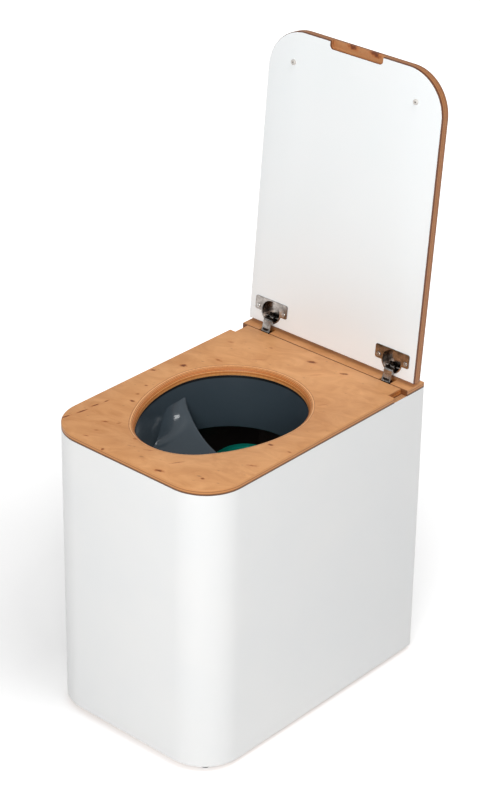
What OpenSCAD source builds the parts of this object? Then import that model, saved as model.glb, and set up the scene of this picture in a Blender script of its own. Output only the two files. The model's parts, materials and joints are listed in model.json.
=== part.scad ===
// Composting toilet with a urine separator, in a bent plywood housing with a hinged lid.
// Millimetres. X runs to the right, Y to the back and Z up; the feet stand on Z = 0.
// The origin is the middle of the floor space that the toilet takes with its lid open.

/* [Body] */
// Outside width of the body, lid and seat board
body_w = 310; // [290:1:350]
// Outside depth of the body
body_d = 450; // [440:1:500]
// Height of the walls above the feet
wall_h = 437; // [410:1:480]
// Radius of the two upright front corners
corner_r = 63; // [50:1:75]
// Thickness of the plywood core of the walls and the back panel
wall_core_t = 9.3; // [7:0.1:13]
// Thickness of the laminates on the walls, the back panel and the lid
laminate_t = 0.8; // [0.5:0.1:1.2]
// Glue line between a core and its laminate
glue_t = 0.05; // [0.02:0.01:0.1]
// Thickness of the base board
base_t = 12; // [9:0.5:16]

/* [Seat] */
// Thickness of the seat board's edge and of the hinge rail
board_t = 9; // [8:0.5:14]
// Depth of the seat board's middle that fits down inside the walls
board_step = 4; // [3:0.25:5]
// Width of the hinge rail from front to back
rail_d = 38.5; // [36:0.5:45]
// Width of the seat board beside the opening
seat_side = 48; // [44:1:56]
// Length of the seat opening
opening_l = 266; // [255:1:270]
// Radius of the opening's narrow front end
opening_tip_r = 80; // [70:1:88]
// Distance from the front of the body to the opening
opening_setback = 57; // [50:1:64]
// Rounding of the opening's upper lip
lip_r = 9; // [6:0.5:9.5]
// Rounding of the seat board's and rail's outer edges
board_edge_r = 1.5; // [0.5:0.25:2.5]
// Depth of a finger notch in from the side
notch_in = 11; // [8:0.5:14]
// Length of a finger notch
notch_l = 29; // [24:1:40]
// Width of a locating cleat under the seat board
cleat_w = 10; // [6:0.5:11]
// Length of a locating cleat
cleat_l = 90; // [60:1:120]
// Height of a locating cleat
cleat_h = 12; // [8:0.5:16]

/* [Lid] */
// Thickness of the lid over both laminates
lid_t = 15; // [14.5:0.5:20]
// Rounding of the lid's edges
lid_edge_r = 1.5; // [0.5:0.25:2.5]
// Gap between the closed lid and the seat board
lid_gap = 3; // [2.8:0.1:5]
// Turn of the lid from closed to open, measured on the room
lid_open = 94.8; // [91:0.1:100]
// Width of the finger recess at the lid's free edge
grip_w = 94; // [70:1:140]
// Reach of the finger recess in from the edge
grip_l = 11.5; // [9:0.5:18]
// Depth of the finger recess in the lid's inner face
grip_h = 8; // [4:0.5:10]
// Corner radius of the finger recess
grip_r = 6; // [2:0.5:8]
// Distance of a bumper from the lid's side
bumper_side = 46; // [25:1:75]
// Distance of the bumpers from the lid's free edge
bumper_in = 46.5; // [25:0.5:70]
// Radius of a bumper
bumper_r = 4; // [3:0.5:6]

/* [Hinges] */
// Distance of each hinge from the body's side
hinge_side = 41.5; // [40:0.5:65]
// Radius of a hinge cup
cup_r = 17.5; // [17.5:0.5:20]
// Depth of a hinge cup in the lid
cup_depth = 11.5; // [11:0.1:12.5]
// Wall of a hinge cup
cup_wall = 0.8; // [0.5:0.1:1.2]
// Distance from the lid's rear edge to the cup's centre
cup_in = 21.8; // [21:0.1:24]
// Thickness of the flange plate
flange_t = 1.2; // [0.8:0.1:1.6]
// Width of the flange plate
flange_w = 60.5; // [58:0.5:66]
// Length of the flange plate from front to back
flange_l = 21; // [18:0.5:26]
// Distance from the lid's rear edge to the flange plate
flange_in = 19; // [17:0.5:22]
// Distance between the two screws of a flange
flange_pitch = 48; // [46:0.5:50]
// Distance from the lid's rear edge to the flange screws
flange_screw_in = 25; // [24:0.5:30]
// Distance of the arm pin from the body's rear face
arm_pin_in = 33.5; // [33:0.1:34]
// Depth of the arm pin below the top of the rail
arm_pin_drop = 2; // [1.6:0.1:2.4]
// Distance of the cup pin from the lid's rear edge
cup_pin_in = 12; // [11.6:0.1:12.4]
// Depth of the cup pin behind the lid's inner face
cup_pin_deep = 5.2; // [5:0.1:5.6]
// Turn of the outer link between closed and open
link_swing = 25.2; // [24.6:0.1:25.8]
// Radius of the hinge pins
pin_r = 1.25; // [1:0.05:1.5]
// Width of a link's bars, seen from the side
link_bar = 5; // [4.4:0.1:5.2]
// Outside width of the outer link
link_w = 15; // [14:0.25:15.5]
// Thickness of the hinge arm's sheet
arm_t = 1.8; // [1.2:0.1:2]
// Distance from the rail's top to the lower end of the hinge arm
arm_reach = 62; // [58:1:70]
// Depth of the block that carries the arm off the back panel
mount_block_d = 9; // [8:0.5:10]
// Distance from the rail's top to the mounting screws
mount_drop = 46; // [42:0.5:48]
// Distance between the two screws of a mounting plate
mount_pitch = 32; // [30:0.5:36]

/* [Separator] */
// Wall of the separator moulding
sep_t = 3; // [2:0.25:4]
// Drop from the seat board's underside to the lower edge of the chute
chute_drop = 84; // [78:1:96]
// Width of the fixing flange outside the separator's wall
sep_flange = 17; // [15:0.5:19]
// Radius of the chute's front wall, seen from above
divider_r = 240; // [200:5:280]
// Distance from the opening's front end to the middle of the divider
divider_in = 155; // [148:1:162]
// Drop from the seat board's underside to the middle of the divider's crest
crest_drop = 75; // [70:1:78]
// Drop from the seat board's underside to the ends of the divider's crest
crest_end_drop = 23; // [18:1:28]
// Drop from the seat board's underside to the bowl's rim at its front
bowl_rim_drop = 73; // [68:1:76]
// Drop from the seat board's underside to the drain
drain_drop = 98; // [94:1:102]
// Distance from the opening's front end to the drain
drain_in = 76; // [72:1:80]
// Bore radius of the drain spout
spout_r = 11; // [8:0.5:13]
// Length of the drain spout below the drain
spout_l = 46; // [40:1:50]

/* [Containers] */
// Wall of both containers
tank_t = 3; // [2:0.25:4]
// Outside width of the solids container's rim
tub_w = 238; // [220:1:250]
// Height of the solids container
tub_h = 268; // [220:1:285]
// Corner radius of the solids container's rim
tub_r = 44.5; // [30:0.5:60]
// Width of the solids container's rim
tub_rim = 5; // [4:0.5:7]
// Distance from the body's rear face to the solids container's rim
tub_behind = 74; // [70:1:80]
// Width of the urine canister
can_w = 236; // [200:1:250]
// Length of the urine canister from front to back
can_l = 150; // [146:1:154]
// Height of the urine canister's tank
can_h = 225; // [160:1:232]
// Gap between the two containers
tank_gap = 6; // [2:0.5:12]
// Corner radius of the urine canister
can_r = 40; // [25:1:50]
// Bore radius of the canister's neck
neck_r = 22; // [19:0.5:23]
// Height of the canister's neck
neck_h = 66; // [58:1:70]
// Thickness of the canister's handle bar
handle_d = 16; // [12:0.5:20]
// Height of the finger gap under the handle bar
handle_gap = 28; // [24:1:34]

/* [Feet] */
// Radius of a foot
foot_r = 10; // [8:0.5:14]
// Height of a foot
foot_h = 8; // [6:0.5:12]
// Distance of a foot's centre in from the body's sides
foot_in = 31; // [29:0.5:36]

/* [Fixings] */
// Shank radius of the wood screws
screw_r = 1.75; // [1.5:0.05:2]
// Head radius of the wood screws
head_r = 3.4; // [3:0.1:3.8]
// Radius of the wooden dowels
dowel_r = 3; // [2.5:0.1:3.4]
// Length of the wooden dowels
dowel_l = 20; // [18:1:24]

/* [Fits] */
// Clearance round screws, dowels and pins in their holes, on the radius
hole_fit = 0.05; // [0.02:0.01:0.1]
// Clearance between boards set side by side
board_fit = 0.3; // [0.1:0.05:0.5]
// Clearance between moving plates of a hinge
plate_fit = 0.3; // [0.15:0.05:0.35]
// Room left for a container to be lifted out
lift_fit = 3; // [2:0.5:5]

/* [Hidden] */
$fn = 64;

// Facets in a quarter turn of a rounded edge
edge_steps = 4;
// Overshoot of a cutting shape past the face it cuts
over = 1;
// Reach of a cutting shape that takes everything on one side of a line
far = 600;

// Where the hinges carry the lid. Pairs are [back, up] from the body's rear upper corner.
arm_pin = [-arm_pin_in, -arm_pin_drop];
cup_pin_shut = [-cup_pin_in, lid_gap + cup_pin_deep];
cup_pin_open = arm_pin + turned(cup_pin_shut - arm_pin, link_swing);
lid_top_open = cup_pin_open + turned([cup_pin_in - body_d, lid_t - cup_pin_deep], -lid_open);

// The four sides of the body in the frame, and the heights
rear_y = fine((body_d - lid_top_open[0]) / 2);
front_y = rear_y - body_d;
skin_t = laminate_t + glue_t;
wall_t = wall_core_t + 2 * skin_t;
back_t = wall_t;
back_in_y = rear_y - back_t;
wall_top = foot_h + wall_h;
board_top = wall_top + board_t;
seat_under = wall_top - board_step;
base_top = foot_h + base_t;
rail_y = rear_y - rail_d;

hinge_x = body_w / 2 - hinge_side;
bumper_x = body_w / 2 - bumper_side;
can_front_y = front_y + wall_t + lift_fit;
tub_l = body_d - tub_behind - tank_gap - can_l - wall_t - lift_fit;

// The seat opening is an egg of four arcs: a rear half circle, two side arcs and a front tip
rear_r = body_w / 2 - seat_side;
tip_shift = opening_l - rear_r - opening_tip_r;
side_r = fine((pow(rear_r, 2) + pow(tip_shift, 2) - pow(opening_tip_r, 2))
    / (2 * (rear_r - opening_tip_r)));
side_shift = side_r - rear_r;
side_turn = atan2(tip_shift, side_shift);
// The end arcs are this much larger than true tangents, so that they cross the side arcs
end_more = 0.05;
opening_front_y = front_y + opening_setback;
egg_y = opening_front_y + opening_tip_r + tip_shift;

// The edges of the boards that are barely rounded
under_edge_r = 0.4;
lip_under_r = 1;
// The seat board's lower step ends this far in front of the rail
step_back = 8;

// The separator under the opening
sep_gap = 1;
chute_z = seat_under - chute_drop;
flange_z = seat_under - sep_t;
divider_y = opening_front_y + divider_in + divider_r;
crest_z = seat_under - crest_drop;
crest_end_z = seat_under - crest_end_drop;
crest_half = rear_r - 2;
crest_arc_r = (pow(crest_half, 2) + pow(crest_end_z - crest_z, 2)) / (2 * (crest_end_z - crest_z));
bowl_rim_z = seat_under - bowl_rim_drop;
drain = [0, opening_front_y + drain_in];
bowl_eye = [0, egg_y - tip_shift / 2];
drain_z = seat_under - drain_drop;
bowl_depth = (crest_z + bowl_rim_z) / 2 - drain_z;
bowl_columns = 36;
bowl_rows = 10;
bowl_end = 0.012;
bowl_side_power = 1.6;
bowl_dish_power = 2.2;

// The bowl's flank stands out as a shoulder beside the divider's ends
shoulder_from = 0.7;
shoulder_run = 0.16;
shoulder_power = 1.8;
sep_screws = 8;
sep_screw_out = sep_gap + sep_t + (sep_flange - sep_t) / 2;

// Hinge shapes seen from the side, with the links in their closed places
knee = [11.5, 12.5];
inner_pin = arm_pin + [0.9, -7.35];
inner_knee = [13.6, 17.35];
inner_tip = [22.1, 16.6];
inner_swing = 24.7;
inner_bar = 2.4;
inner_eye_r = 3.2;
inner_eye_bore = 1.9;
arm_ear_r = 3.2;
arm_foot_back = -back_t - mount_block_d;
// The heads of the arm's screws lie between its two cheeks, and the inner link swings there
arm_in = head_r + 2 * hole_fit;
inner_half = arm_in - plate_fit;
arm_out = arm_in + arm_t;
link_in = arm_out + plate_fit;
stub_in = link_in - 0.7;
// The stub pins end inside the cup's wall, short of the wood around it
stub_out = fine(sqrt(pow(cup_r, 2) - pow(cup_in - cup_pin_in + pin_r, 2)) - hole_fit);
web_t = 1.5;
web_from = 0.3;
web_to = 0.45;
inner_hub_r = 2.8;
arm_root_in = 1;
arm_root_drop = 12;
arm_root = [arm_foot_back - arm_ear_r - arm_root_in, inner_pin[1] - arm_root_drop];
arm_channel_d = 9;
arm_screw_below = 4;
arm_screw_above = 16;
arm_screw_z = [-mount_drop - arm_screw_below, -mount_drop + arm_screw_above];
cup_rim = 0.8;
flange_corner_r = 3;
eye_more = 0.15;
pocket_half = 10.25;
pocket_d = 18.5;
block_half = 8;
block_rise = 24;
block_fall = 12;
wing_half = mount_pitch / 2 + 8;
wing_t = 2.5;
wing_rise = 7;

// Fixings
screw_hole_r = screw_r + hole_fit;
dowel_hole_r = dowel_r + hole_fit;
pin_hole_r = pin_r + hole_fit;
head_h = 1.2;
cross_w = 0.8;
cross_l = 3.6;
cross_h = 0.7;
// Wood left past the end of a screw or dowel, and room at the end of its hole
cover = 3;
hole_end = 0.5;
cup_screw_l = 9;
sep_screw_l = sep_t + board_t - cover;
cleat_screw_l = cleat_h + board_t - cover;
cleat_screw_out = cleat_l / 3;
mount_screw_l = wing_t + back_t - cover;
arm_screw_l = mount_block_d - 1;
foot_bore_r = head_r + 1;
foot_bore_h = 4;
foot_screw_l = foot_h - foot_bore_h + base_t - cover;
foot_chamfer = 1;
bumper_h = lid_gap - 0.1;
bumper_chamfer = 1;
rail_dowel_x = [-60, 0, 60];
rail_dowel_wall_in = [8, 29];
panel_dowel_x = 70;
panel_dowel_y = [80, 330];
back_dowel_z = [110, 350];
dowel_in_wall = wall_t - cover;
dowel_in_back = back_t - cover;

// To the nearest micrometre, so that shapes set side by side meet exactly
function fine(v) = round(v * 1000) / 1000;

// Turns a [back, up] pair by an angle, from back towards up
function turned(p, a) = [p[0] * cos(a) - p[1] * sin(a), p[0] * sin(a) + p[1] * cos(a)];

// Steps of a board's edge from its lower to its upper face, as [inset, height]
function edge(t, low_r, high_r) = concat(
    [for (i = [0 : edge_steps]) let (a = 90 - 90 * i / edge_steps)
        [fine(low_r * (1 - cos(a))), fine(low_r * (1 - sin(a)))]],
    [for (i = [0 : edge_steps]) let (a = 90 * i / edge_steps)
        [fine(high_r * (1 - cos(a))), fine(t - high_r * (1 - sin(a)))]]);

// Outline of a board of length l seen end on, with both edges rounded
function board_outline(l, steps) = concat(
    [for (s = steps) [s[0], s[1]]],
    [for (i = [len(steps) - 1 : -1 : 0]) [l - steps[i][0], steps[i][1]]]);

// Distance along a ray from o in direction d to a circle, s = 1 far side, s = -1 near side
function to_circle(o, d, c, r, s) =
    let (m = o - c, b = m * d, q = b * b - m * m + r * r)
    q < 0 ? 1e6 : -b + s * sqrt(q);

// Where two circles meet, on the side s of the line between their centres
function meeting(c1, r1, c2, r2, s) =
    let (d = norm(c2 - c1), u = (c2 - c1) / d, a = (r1 * r1 - r2 * r2 + d * d) / (2 * d))
    c1 + a * u + s * sqrt(r1 * r1 - a * a) * [-u[1], u[0]];

// Distance from o, inside the egg grown by g, to its outline at an angle
function egg_reach(o, a, g) =
    let (d = [cos(a), sin(a)],
        side = min([for (s = [-1, 1]) to_circle(o, d, [s * side_shift, egg_y], side_r + g, 1)]),
        y = o[1] + side * d[1])
    y > egg_y ? to_circle(o, d, [0, egg_y], rear_r + g, 1)
        : y < egg_y - (side_r + g) * sin(side_turn)
            ? to_circle(o, d, [0, egg_y - tip_shift], opening_tip_r + g, 1)
            : side;

// Height of the divider's crest at a distance x from the middle
function crest_at(x) = crest_z + crest_arc_r - sqrt(pow(crest_arc_r, 2) - x * x);

// A solid whose cross-section is the egg, grown step by step: steps are [growth, height]
module egg_solid(steps) {
    disc([0, egg_y], rear_r + end_more, steps);
    disc([0, egg_y - tip_shift], opening_tip_r + end_more, steps);
    for (s = [-1, 1])
        intersection() {
            disc([-s * side_shift, egg_y], side_r, steps);
            half_space([-s * side_shift, egg_y], -s * side_turn);
            half_space([0, egg_y], 180);
            half_space([-s * over, egg_y], -s * 90);
        }
}

module disc(centre, r, steps) {
    translate([centre[0], centre[1], 0]) rotate_extrude()
        polygon(concat([[0, steps[0][1]]], [for (s = steps) [r + s[0], s[1]]],
            [[0, steps[len(steps) - 1][1]]]));
}

// Everything on the far side of a line that runs through a point at an angle to X
module half_space(point, angle) {
    translate([point[0], point[1], 0]) rotate([0, 0, angle]) translate([-far, 0, -far])
        cube([2 * far, 2 * far, 4 * far]);
}

// A straight-sided egg from z0 to z1, grown by g
module egg_prism(g, z0, z1) {
    egg_solid([[g, z0], [g, z1]]);
}

// A board with round front corners and rounded edges. Its front edge lies on y = 0.
module rounded_board(w, l, r, t, low_r, high_r) {
    steps = edge(t, low_r, high_r);
    difference() {
        intersection() {
            translate([-w / 2, l, 0]) rotate([90, 0, 0]) linear_extrude(l)
                polygon(board_outline(w, steps));
            translate([-w / 2, 0, 0]) rotate([90, 0, 90]) linear_extrude(w)
                polygon(board_outline(l, steps));
        }
        for (s = [-1, 1])
            translate([s > 0 ? w / 2 - r : -w / 2 - over, -over, -over])
                cube([r + over, r + over, t + 2 * over]);
    }
    for (s = [-1, 1])
        translate([s * (w / 2 - r), r, 0]) rotate([0, 0, s > 0 ? 270 : 180])
            rotate_extrude(angle = 90)
                polygon(concat([[0, 0]], [for (p = steps) [r - p[0], p[1]]], [[0, t]]));
}

// Plan of the body set in by i, carried past the rear by more
module plan(i, more = 0) {
    half = body_w / 2;
    translate([-half + i, front_y + corner_r])
        square([body_w - 2 * i, body_d - corner_r + more]);
    translate([-half + corner_r, front_y + i])
        square([body_w - 2 * corner_r, corner_r]);
    for (s = [-1, 1])
        translate([s * (half - corner_r), front_y + corner_r]) circle(corner_r - i);
}

// One layer of the bent wall, between two insets
module wall_layer(from, to) {
    translate([0, 0, foot_h]) linear_extrude(wall_h)
        difference() {
            plan(from);
            plan(to, over);
        }
}

// A rectangle with four round corners, centred
module round_rect(w, l, r) {
    square([w - 2 * r, l], center = true);
    square([w, l - 2 * r], center = true);
    for (x = [-1, 1], y = [-1, 1])
        translate([x * (w / 2 - r), y * (l / 2 - r)]) circle(r);
}

// A straight bar between two points, with round ends a little wider than the bar
module bar(a, b, w) {
    for (p = [a, b]) translate(p) circle(w / 2 + eye_more);
    translate(a) rotate(atan2(b[1] - a[1], b[0] - a[0])) translate([0, -w / 2])
        square([norm(b - a), w]);
}

// Stands a side view up and gives it thickness between two places along X
module across(x0, x1) {
    translate([x0, 0, 0]) rotate([90, 0, 90]) linear_extrude(x1 - x0) children();
}

// A screw pointing up the Z axis: its head lies below z = 0 and its shank above
module screw(l) {
    difference() {
        union() {
            translate([0, 0, -head_h]) cylinder(r = head_r, h = head_h);
            cylinder(r = screw_r, h = l);
        }
        for (a = [0, 90])
            rotate([0, 0, a]) translate([-cross_l / 2, -cross_w / 2, -head_h - over])
                cube([cross_l, cross_w, cross_h + over]);
    }
}

// Places: the lid's own frame has y = 0 at its rear edge and z = 0 on its inner face
module on_lid() {
    translate([0, rear_y + cup_pin_open[0], board_top + cup_pin_open[1]])
        rotate([-lid_open, 0, 0]) translate([0, cup_pin_in, -cup_pin_deep]) children();
}

module on_rear_corner() {
    translate([0, rear_y, board_top]) children();
}

module at_outer_link() {
    on_rear_corner() translate([0, arm_pin[0], arm_pin[1]]) rotate([link_swing, 0, 0]) children();
}

module at_inner_link() {
    on_rear_corner() translate([0, inner_pin[0], inner_pin[1]]) rotate([inner_swing, 0, 0])
        children();
}

module at_hinges() {
    for (s = [-1, 1]) translate([s * hinge_x, 0, 0]) children();
}

module at_hinge(s) {
    translate([s * hinge_x, 0, 0]) children();
}

// Dowels that hold the rail down on the walls and the back panel
module at_rail_dowels() {
    for (s = [-1, 1], back = rail_dowel_wall_in)
        translate([s * (body_w / 2 - wall_t / 2), rear_y - back, board_top - cover]) children();
    for (x = rail_dowel_x)
        translate([x, rear_y - back_t / 2, board_top - cover]) children();
}

// Dowels that hold the base board and the back panel between the walls
module at_panel_dowels() {
    base_z = foot_h + base_t / 2;
    for (s = [-1, 1]) {
        for (y = panel_dowel_y)
            translate([s * (body_w / 2 - wall_t + dowel_in_wall), front_y + y, base_z])
                rotate([0, -s * 90, 0]) children();
        for (z = back_dowel_z)
            translate([s * (body_w / 2 - wall_t + dowel_in_wall), rear_y - back_t / 2, z])
                rotate([0, -s * 90, 0]) children();
        translate([s * panel_dowel_x, front_y + wall_t - dowel_in_wall, base_z])
            rotate([-90, 0, 0]) children();
        translate([s * panel_dowel_x, back_in_y + dowel_in_back, base_z])
            rotate([90, 0, 0]) children();
    }
}

module dowel(r) {
    cylinder(r = r, h = dowel_l);
}

module dowel_holes() {
    at_rail_dowels() rotate([180, 0, 0]) dowel(dowel_hole_r);
    at_panel_dowels() dowel(dowel_hole_r);
}

// Screw places
module at_separator_screws() {
    for (i = [0 : sep_screws - 1])
        let (a = 360 * (i + 0.5) / sep_screws,
            p = bowl_eye + (egg_reach(bowl_eye, a, 0) + sep_screw_out) * [cos(a), sin(a)])
            translate([p[0], p[1], flange_z]) children();
}

module at_cleat_screws() {
    for (s = [-1, 1], e = [-1, 1])
        translate([s * cleat_x(), egg_y + e * cleat_screw_out, seat_under - cleat_h]) children();
}

function cleat_x() = body_w / 2 - wall_t - 2 * board_fit - cleat_w / 2;

module at_cup_screws() {
    for (s = [-1, 1])
        translate([s * flange_pitch / 2, -flange_screw_in, -flange_t]) children();
}

module at_mounting_screws() {
    for (s = [-1, 1])
        on_rear_corner() translate([s * mount_pitch / 2, -back_t - wing_t, -mount_drop])
            rotate([-90, 0, 0]) children();
}

module at_arm_screws() {
    for (z = arm_screw_z)
        on_rear_corner() translate([0, arm_foot_back - arm_t, z]) rotate([-90, 0, 0]) children();
}

module at_feet() {
    for (x = [-1, 1], y = [-1, 1]) at_foot(x, y) children();
}

module at_foot(x, y) {
    translate([x * (body_w / 2 - foot_in), (front_y + rear_y) / 2 + y * (body_d / 2 - foot_in), 0])
        children();
}

// ---- Body ----

module shell_core() {
    color("tan") difference() {
        wall_layer(skin_t, wall_t - skin_t);
        dowel_holes();
    }
}

module outer_laminate() {
    color("white") wall_layer(0, laminate_t);
}

module wall_backing() {
    color("dimgray") difference() {
        wall_layer(wall_t - laminate_t, wall_t);
        dowel_holes();
    }
}

// One layer of the back panel, between two depths from its rear face
module back_layer(from, to) {
    inset = wall_t + board_fit / 2;
    translate([-body_w / 2 + inset, rear_y - to, foot_h])
        cube([body_w - 2 * inset, to - from, wall_h]);
}

module back_holes() {
    dowel_holes();
    at_hinges() at_mounting_screws() cylinder(r = screw_hole_r, h = mount_screw_l + hole_end);
}

module back_core() {
    color("tan") difference() {
        back_layer(skin_t, back_t - skin_t);
        back_holes();
    }
}

module back_laminate() {
    color("white") back_layer(0, laminate_t);
}

module back_backing() {
    color("dimgray") difference() {
        back_layer(back_t - laminate_t, back_t);
        back_holes();
    }
}

module base_board() {
    color("tan") difference() {
        translate([0, 0, foot_h]) linear_extrude(base_t) difference() {
            plan(wall_t + board_fit / 2);
            translate([-body_w, back_in_y - board_fit / 2]) square(2 * body_w);
        }
        dowel_holes();
        at_feet() cylinder(r = screw_hole_r, h = foot_bore_h + foot_screw_l + hole_end);
    }
}

module hinge_rail() {
    steps = edge(board_t, under_edge_r, board_edge_r);
    color("burlywood") difference() {
        translate([-body_w / 2, rail_y, wall_top]) rotate([90, 0, 90]) linear_extrude(body_w)
            polygon(board_outline(rail_d, steps));
        at_hinges() translate([-pocket_half, rail_y - over, wall_top - over])
            cube([2 * pocket_half, pocket_d + over, board_t + 2 * over]);
        dowel_holes();
    }
}

module rail_dowels() {
    color("peru") at_rail_dowels() rotate([180, 0, 0]) dowel(dowel_r);
}

module panel_dowels() {
    color("peru") at_panel_dowels() dowel(dowel_r);
}

module foot(x, y) {
    color("darkslategray") at_foot(x, y) difference() {
        union() {
            cylinder(r1 = foot_r - foot_chamfer, r2 = foot_r, h = foot_chamfer);
            translate([0, 0, foot_chamfer]) cylinder(r = foot_r, h = foot_h - foot_chamfer);
        }
        translate([0, 0, -over]) cylinder(r = foot_bore_r, h = foot_bore_h + over);
        cylinder(r = screw_hole_r, h = foot_h + over);
    }
}

module foot_screws() {
    color("silver") at_feet() translate([0, 0, foot_bore_h]) screw(foot_screw_l);
}

// ---- Seat ----

module seat_board() {
    length = body_d - rail_d - board_fit;
    lip = edge(board_t + board_step, lip_under_r, lip_r);
    color("burlywood") difference() {
        union() {
            translate([0, front_y, wall_top])
                rounded_board(body_w, length, corner_r, board_t, under_edge_r, board_edge_r);
            translate([0, 0, seat_under]) linear_extrude(board_step + board_t / 2) difference() {
                plan(wall_t + 2 * board_fit);
                translate([-body_w, rail_y - step_back]) square(2 * body_w);
            }
        }
        egg_solid(concat([[lip[0][0], seat_under - over]],
            [for (p = lip) [p[0], seat_under + p[1]]],
            [[lip_r, board_top + over]]));
        for (s = [-1, 1])
            translate([s > 0 ? body_w / 2 - notch_in : -body_w / 2 - over,
                rail_y - notch_l, seat_under - over])
                cube([notch_in + over, notch_l + over, board_step + board_t + 2 * over]);
        at_separator_screws() cylinder(r = screw_hole_r, h = sep_screw_l + hole_end);
        at_cleat_screws() cylinder(r = screw_hole_r, h = cleat_screw_l + hole_end);
    }
}

module seat_cleat(s) {
    color("tan") difference() {
        translate([s * cleat_x() - cleat_w / 2, egg_y - cleat_l / 2, seat_under - cleat_h])
            cube([cleat_w, cleat_l, cleat_h]);
        at_cleat_screws() translate([0, 0, -over])
            cylinder(r = screw_hole_r, h = cleat_h + 2 * over);
    }
}

module cleat_screws() {
    color("silver") at_cleat_screws() screw(cleat_screw_l);
}

// ---- Separator ----

// The middle line of the separator's wall and of the divider, and where they meet
wall_out = sep_gap + sep_t / 2;
divider_mid_r = divider_r + sep_t / 2;

function divider_end(s) =
    let (p = meeting([0, divider_y], divider_mid_r, [0, egg_y], rear_r + wall_out, s))
    p[1] > egg_y ? p
        : meeting([0, divider_y], divider_mid_r, [-s * side_shift, egg_y], side_r + wall_out, s);

// Angle of the point p seen from o, counted up from 90 degrees
function bearing(p, o) = let (a = atan2(p[1] - o[1], p[0] - o[0])) a < 90 ? a + 360 : a;

function mix(a, b, f) = a + (b - a) * f;

// Rises smoothly from 0 to 1 as u does
function eased(u) = let (v = max(0, min(1, u))) v * v * (3 - 2 * v);

// A point of the bowl: t runs from left to right and s from the divider to the front wall
function bowl_point(t, s, drop) =
    let (left = divider_end(-1), right = divider_end(1),
        a = mix(bearing(left, [0, divider_y]), bearing(right, [0, divider_y]), t),
        b = mix(bearing(left, bowl_eye), bearing(right, bowl_eye), t),
        crest = [0, divider_y] + divider_mid_r * [cos(a), sin(a)],
        rim = bowl_eye + egg_reach(bowl_eye, b, wall_out) * [cos(b), sin(b)],
        off = abs(2 * t - 1),
        high = crest_at(crest[0]) - sep_t / 4,
        low = mix(bowl_rim_z, crest_end_z, eased((off - shoulder_from) / shoulder_run)),
        fall = pow(s, mix(1, shoulder_power, off)),
        dip = bowl_depth * (1 - pow(off, bowl_side_power))
            * (1 - pow(abs(2 * s - 1), bowl_dish_power)),
        p = mix(crest, rim, s))
    [p[0], p[1], mix(high, low, fall) - dip - drop];

// The dished floor of the bowl, from the divider to the front wall
module bowl_floor() {
    n = bowl_columns + 1;
    m = bowl_rows + 1;
    points = [for (drop = [0, sep_t], k = [0 : bowl_rows], i = [0 : bowl_columns])
        bowl_point(mix(bowl_end, 1 - bowl_end, i / bowl_columns), k / bowl_rows, drop)];
    under = n * m;
    border = concat([for (i = [0 : bowl_columns]) i],
        [for (k = [1 : bowl_rows]) k * n + bowl_columns],
        [for (i = [bowl_columns - 1 : -1 : 0]) bowl_rows * n + i],
        [for (k = [bowl_rows - 1 : -1 : 1]) k * n]);
    faces = concat(
        [for (k = [0 : bowl_rows - 1], i = [0 : bowl_columns - 1], h = [0, 1])
            let (a = k * n + i, b = a + 1, c = a + n, d = b + n)
            h == 0 ? [a, b, d] : [a, d, c]],
        [for (k = [0 : bowl_rows - 1], i = [0 : bowl_columns - 1], h = [0, 1])
            let (a = under + k * n + i, b = a + 1, c = a + n, d = b + n)
            h == 0 ? [a, d, b] : [a, c, d]],
        [for (j = [0 : len(border) - 1], h = [0, 1])
            let (a = border[j], b = border[(j + 1) % len(border)])
            h == 0 ? [a, under + b, b] : [a, under + a, under + b]]);
    polyhedron(points, faces);
}

// The curved wall between bowl and chute, with its crest hollowed towards the middle
module divider() {
    intersection() {
        egg_prism(sep_gap + sep_t / 2, chute_z, seat_under);
        difference() {
            translate([0, divider_y, chute_z]) cylinder(r = divider_r + sep_t, h = chute_drop);
            translate([0, divider_y, chute_z - over])
                cylinder(r = divider_r, h = chute_drop + 2 * over);
            translate([0, 0, crest_z + crest_arc_r]) rotate([-90, 0, 0])
                cylinder(r = crest_arc_r, h = 4 * body_d, center = true);
        }
        translate([-body_w, divider_y - 2 * divider_r, chute_z])
            cube([2 * body_w, 2 * divider_r, chute_drop]);
    }
}

module separator() {
    wall = sep_gap + sep_t;
    front_wall_z = bowl_rim_z - 2 * sep_t;
    color("darkslategray") difference() {
        union() {
            difference() {
                union() {
                    egg_prism(sep_gap + sep_t + sep_flange, flange_z, seat_under);
                    egg_prism(wall, chute_z, seat_under);
                }
                egg_prism(sep_gap, chute_z - over, seat_under + over);
                translate([-body_w, front_y, chute_z - over])
                    cube([2 * body_w, drain[1] - front_y, front_wall_z - chute_z + over]);
            }
            divider();
            bowl_floor();
            translate([drain[0], drain[1], drain_z - spout_l])
                cylinder(r = spout_r + sep_t, h = spout_l - sep_t / 2);
        }
        translate([drain[0], drain[1], drain_z - spout_l - over])
            cylinder(r = spout_r, h = spout_l + 3 * over);
        at_separator_screws() translate([0, 0, -over])
            cylinder(r = screw_hole_r, h = sep_t + 2 * over);
    }
}

module separator_screws() {
    color("silver") at_separator_screws() screw(sep_screw_l);
}

// ---- Containers ----

module solids_container() {
    w = tub_w - 2 * tub_rim;
    l = tub_l - 2 * tub_rim;
    r = tub_r - tub_rim;
    grip_out = 10;
    grip_l = 80;
    color("teal") translate([0, rear_y - tub_behind - tub_l / 2, base_top]) difference() {
        union() {
            linear_extrude(tub_h) round_rect(w, l, r);
            translate([0, 0, tub_h - tank_t]) linear_extrude(tank_t) {
                round_rect(tub_w, tub_l, tub_r);
                square([tub_w + 2 * grip_out, grip_l], center = true);
            }
        }
        translate([0, 0, tank_t]) linear_extrude(tub_h)
            round_rect(w - 2 * tank_t, l - 2 * tank_t, r - tank_t);
    }
}

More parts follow.
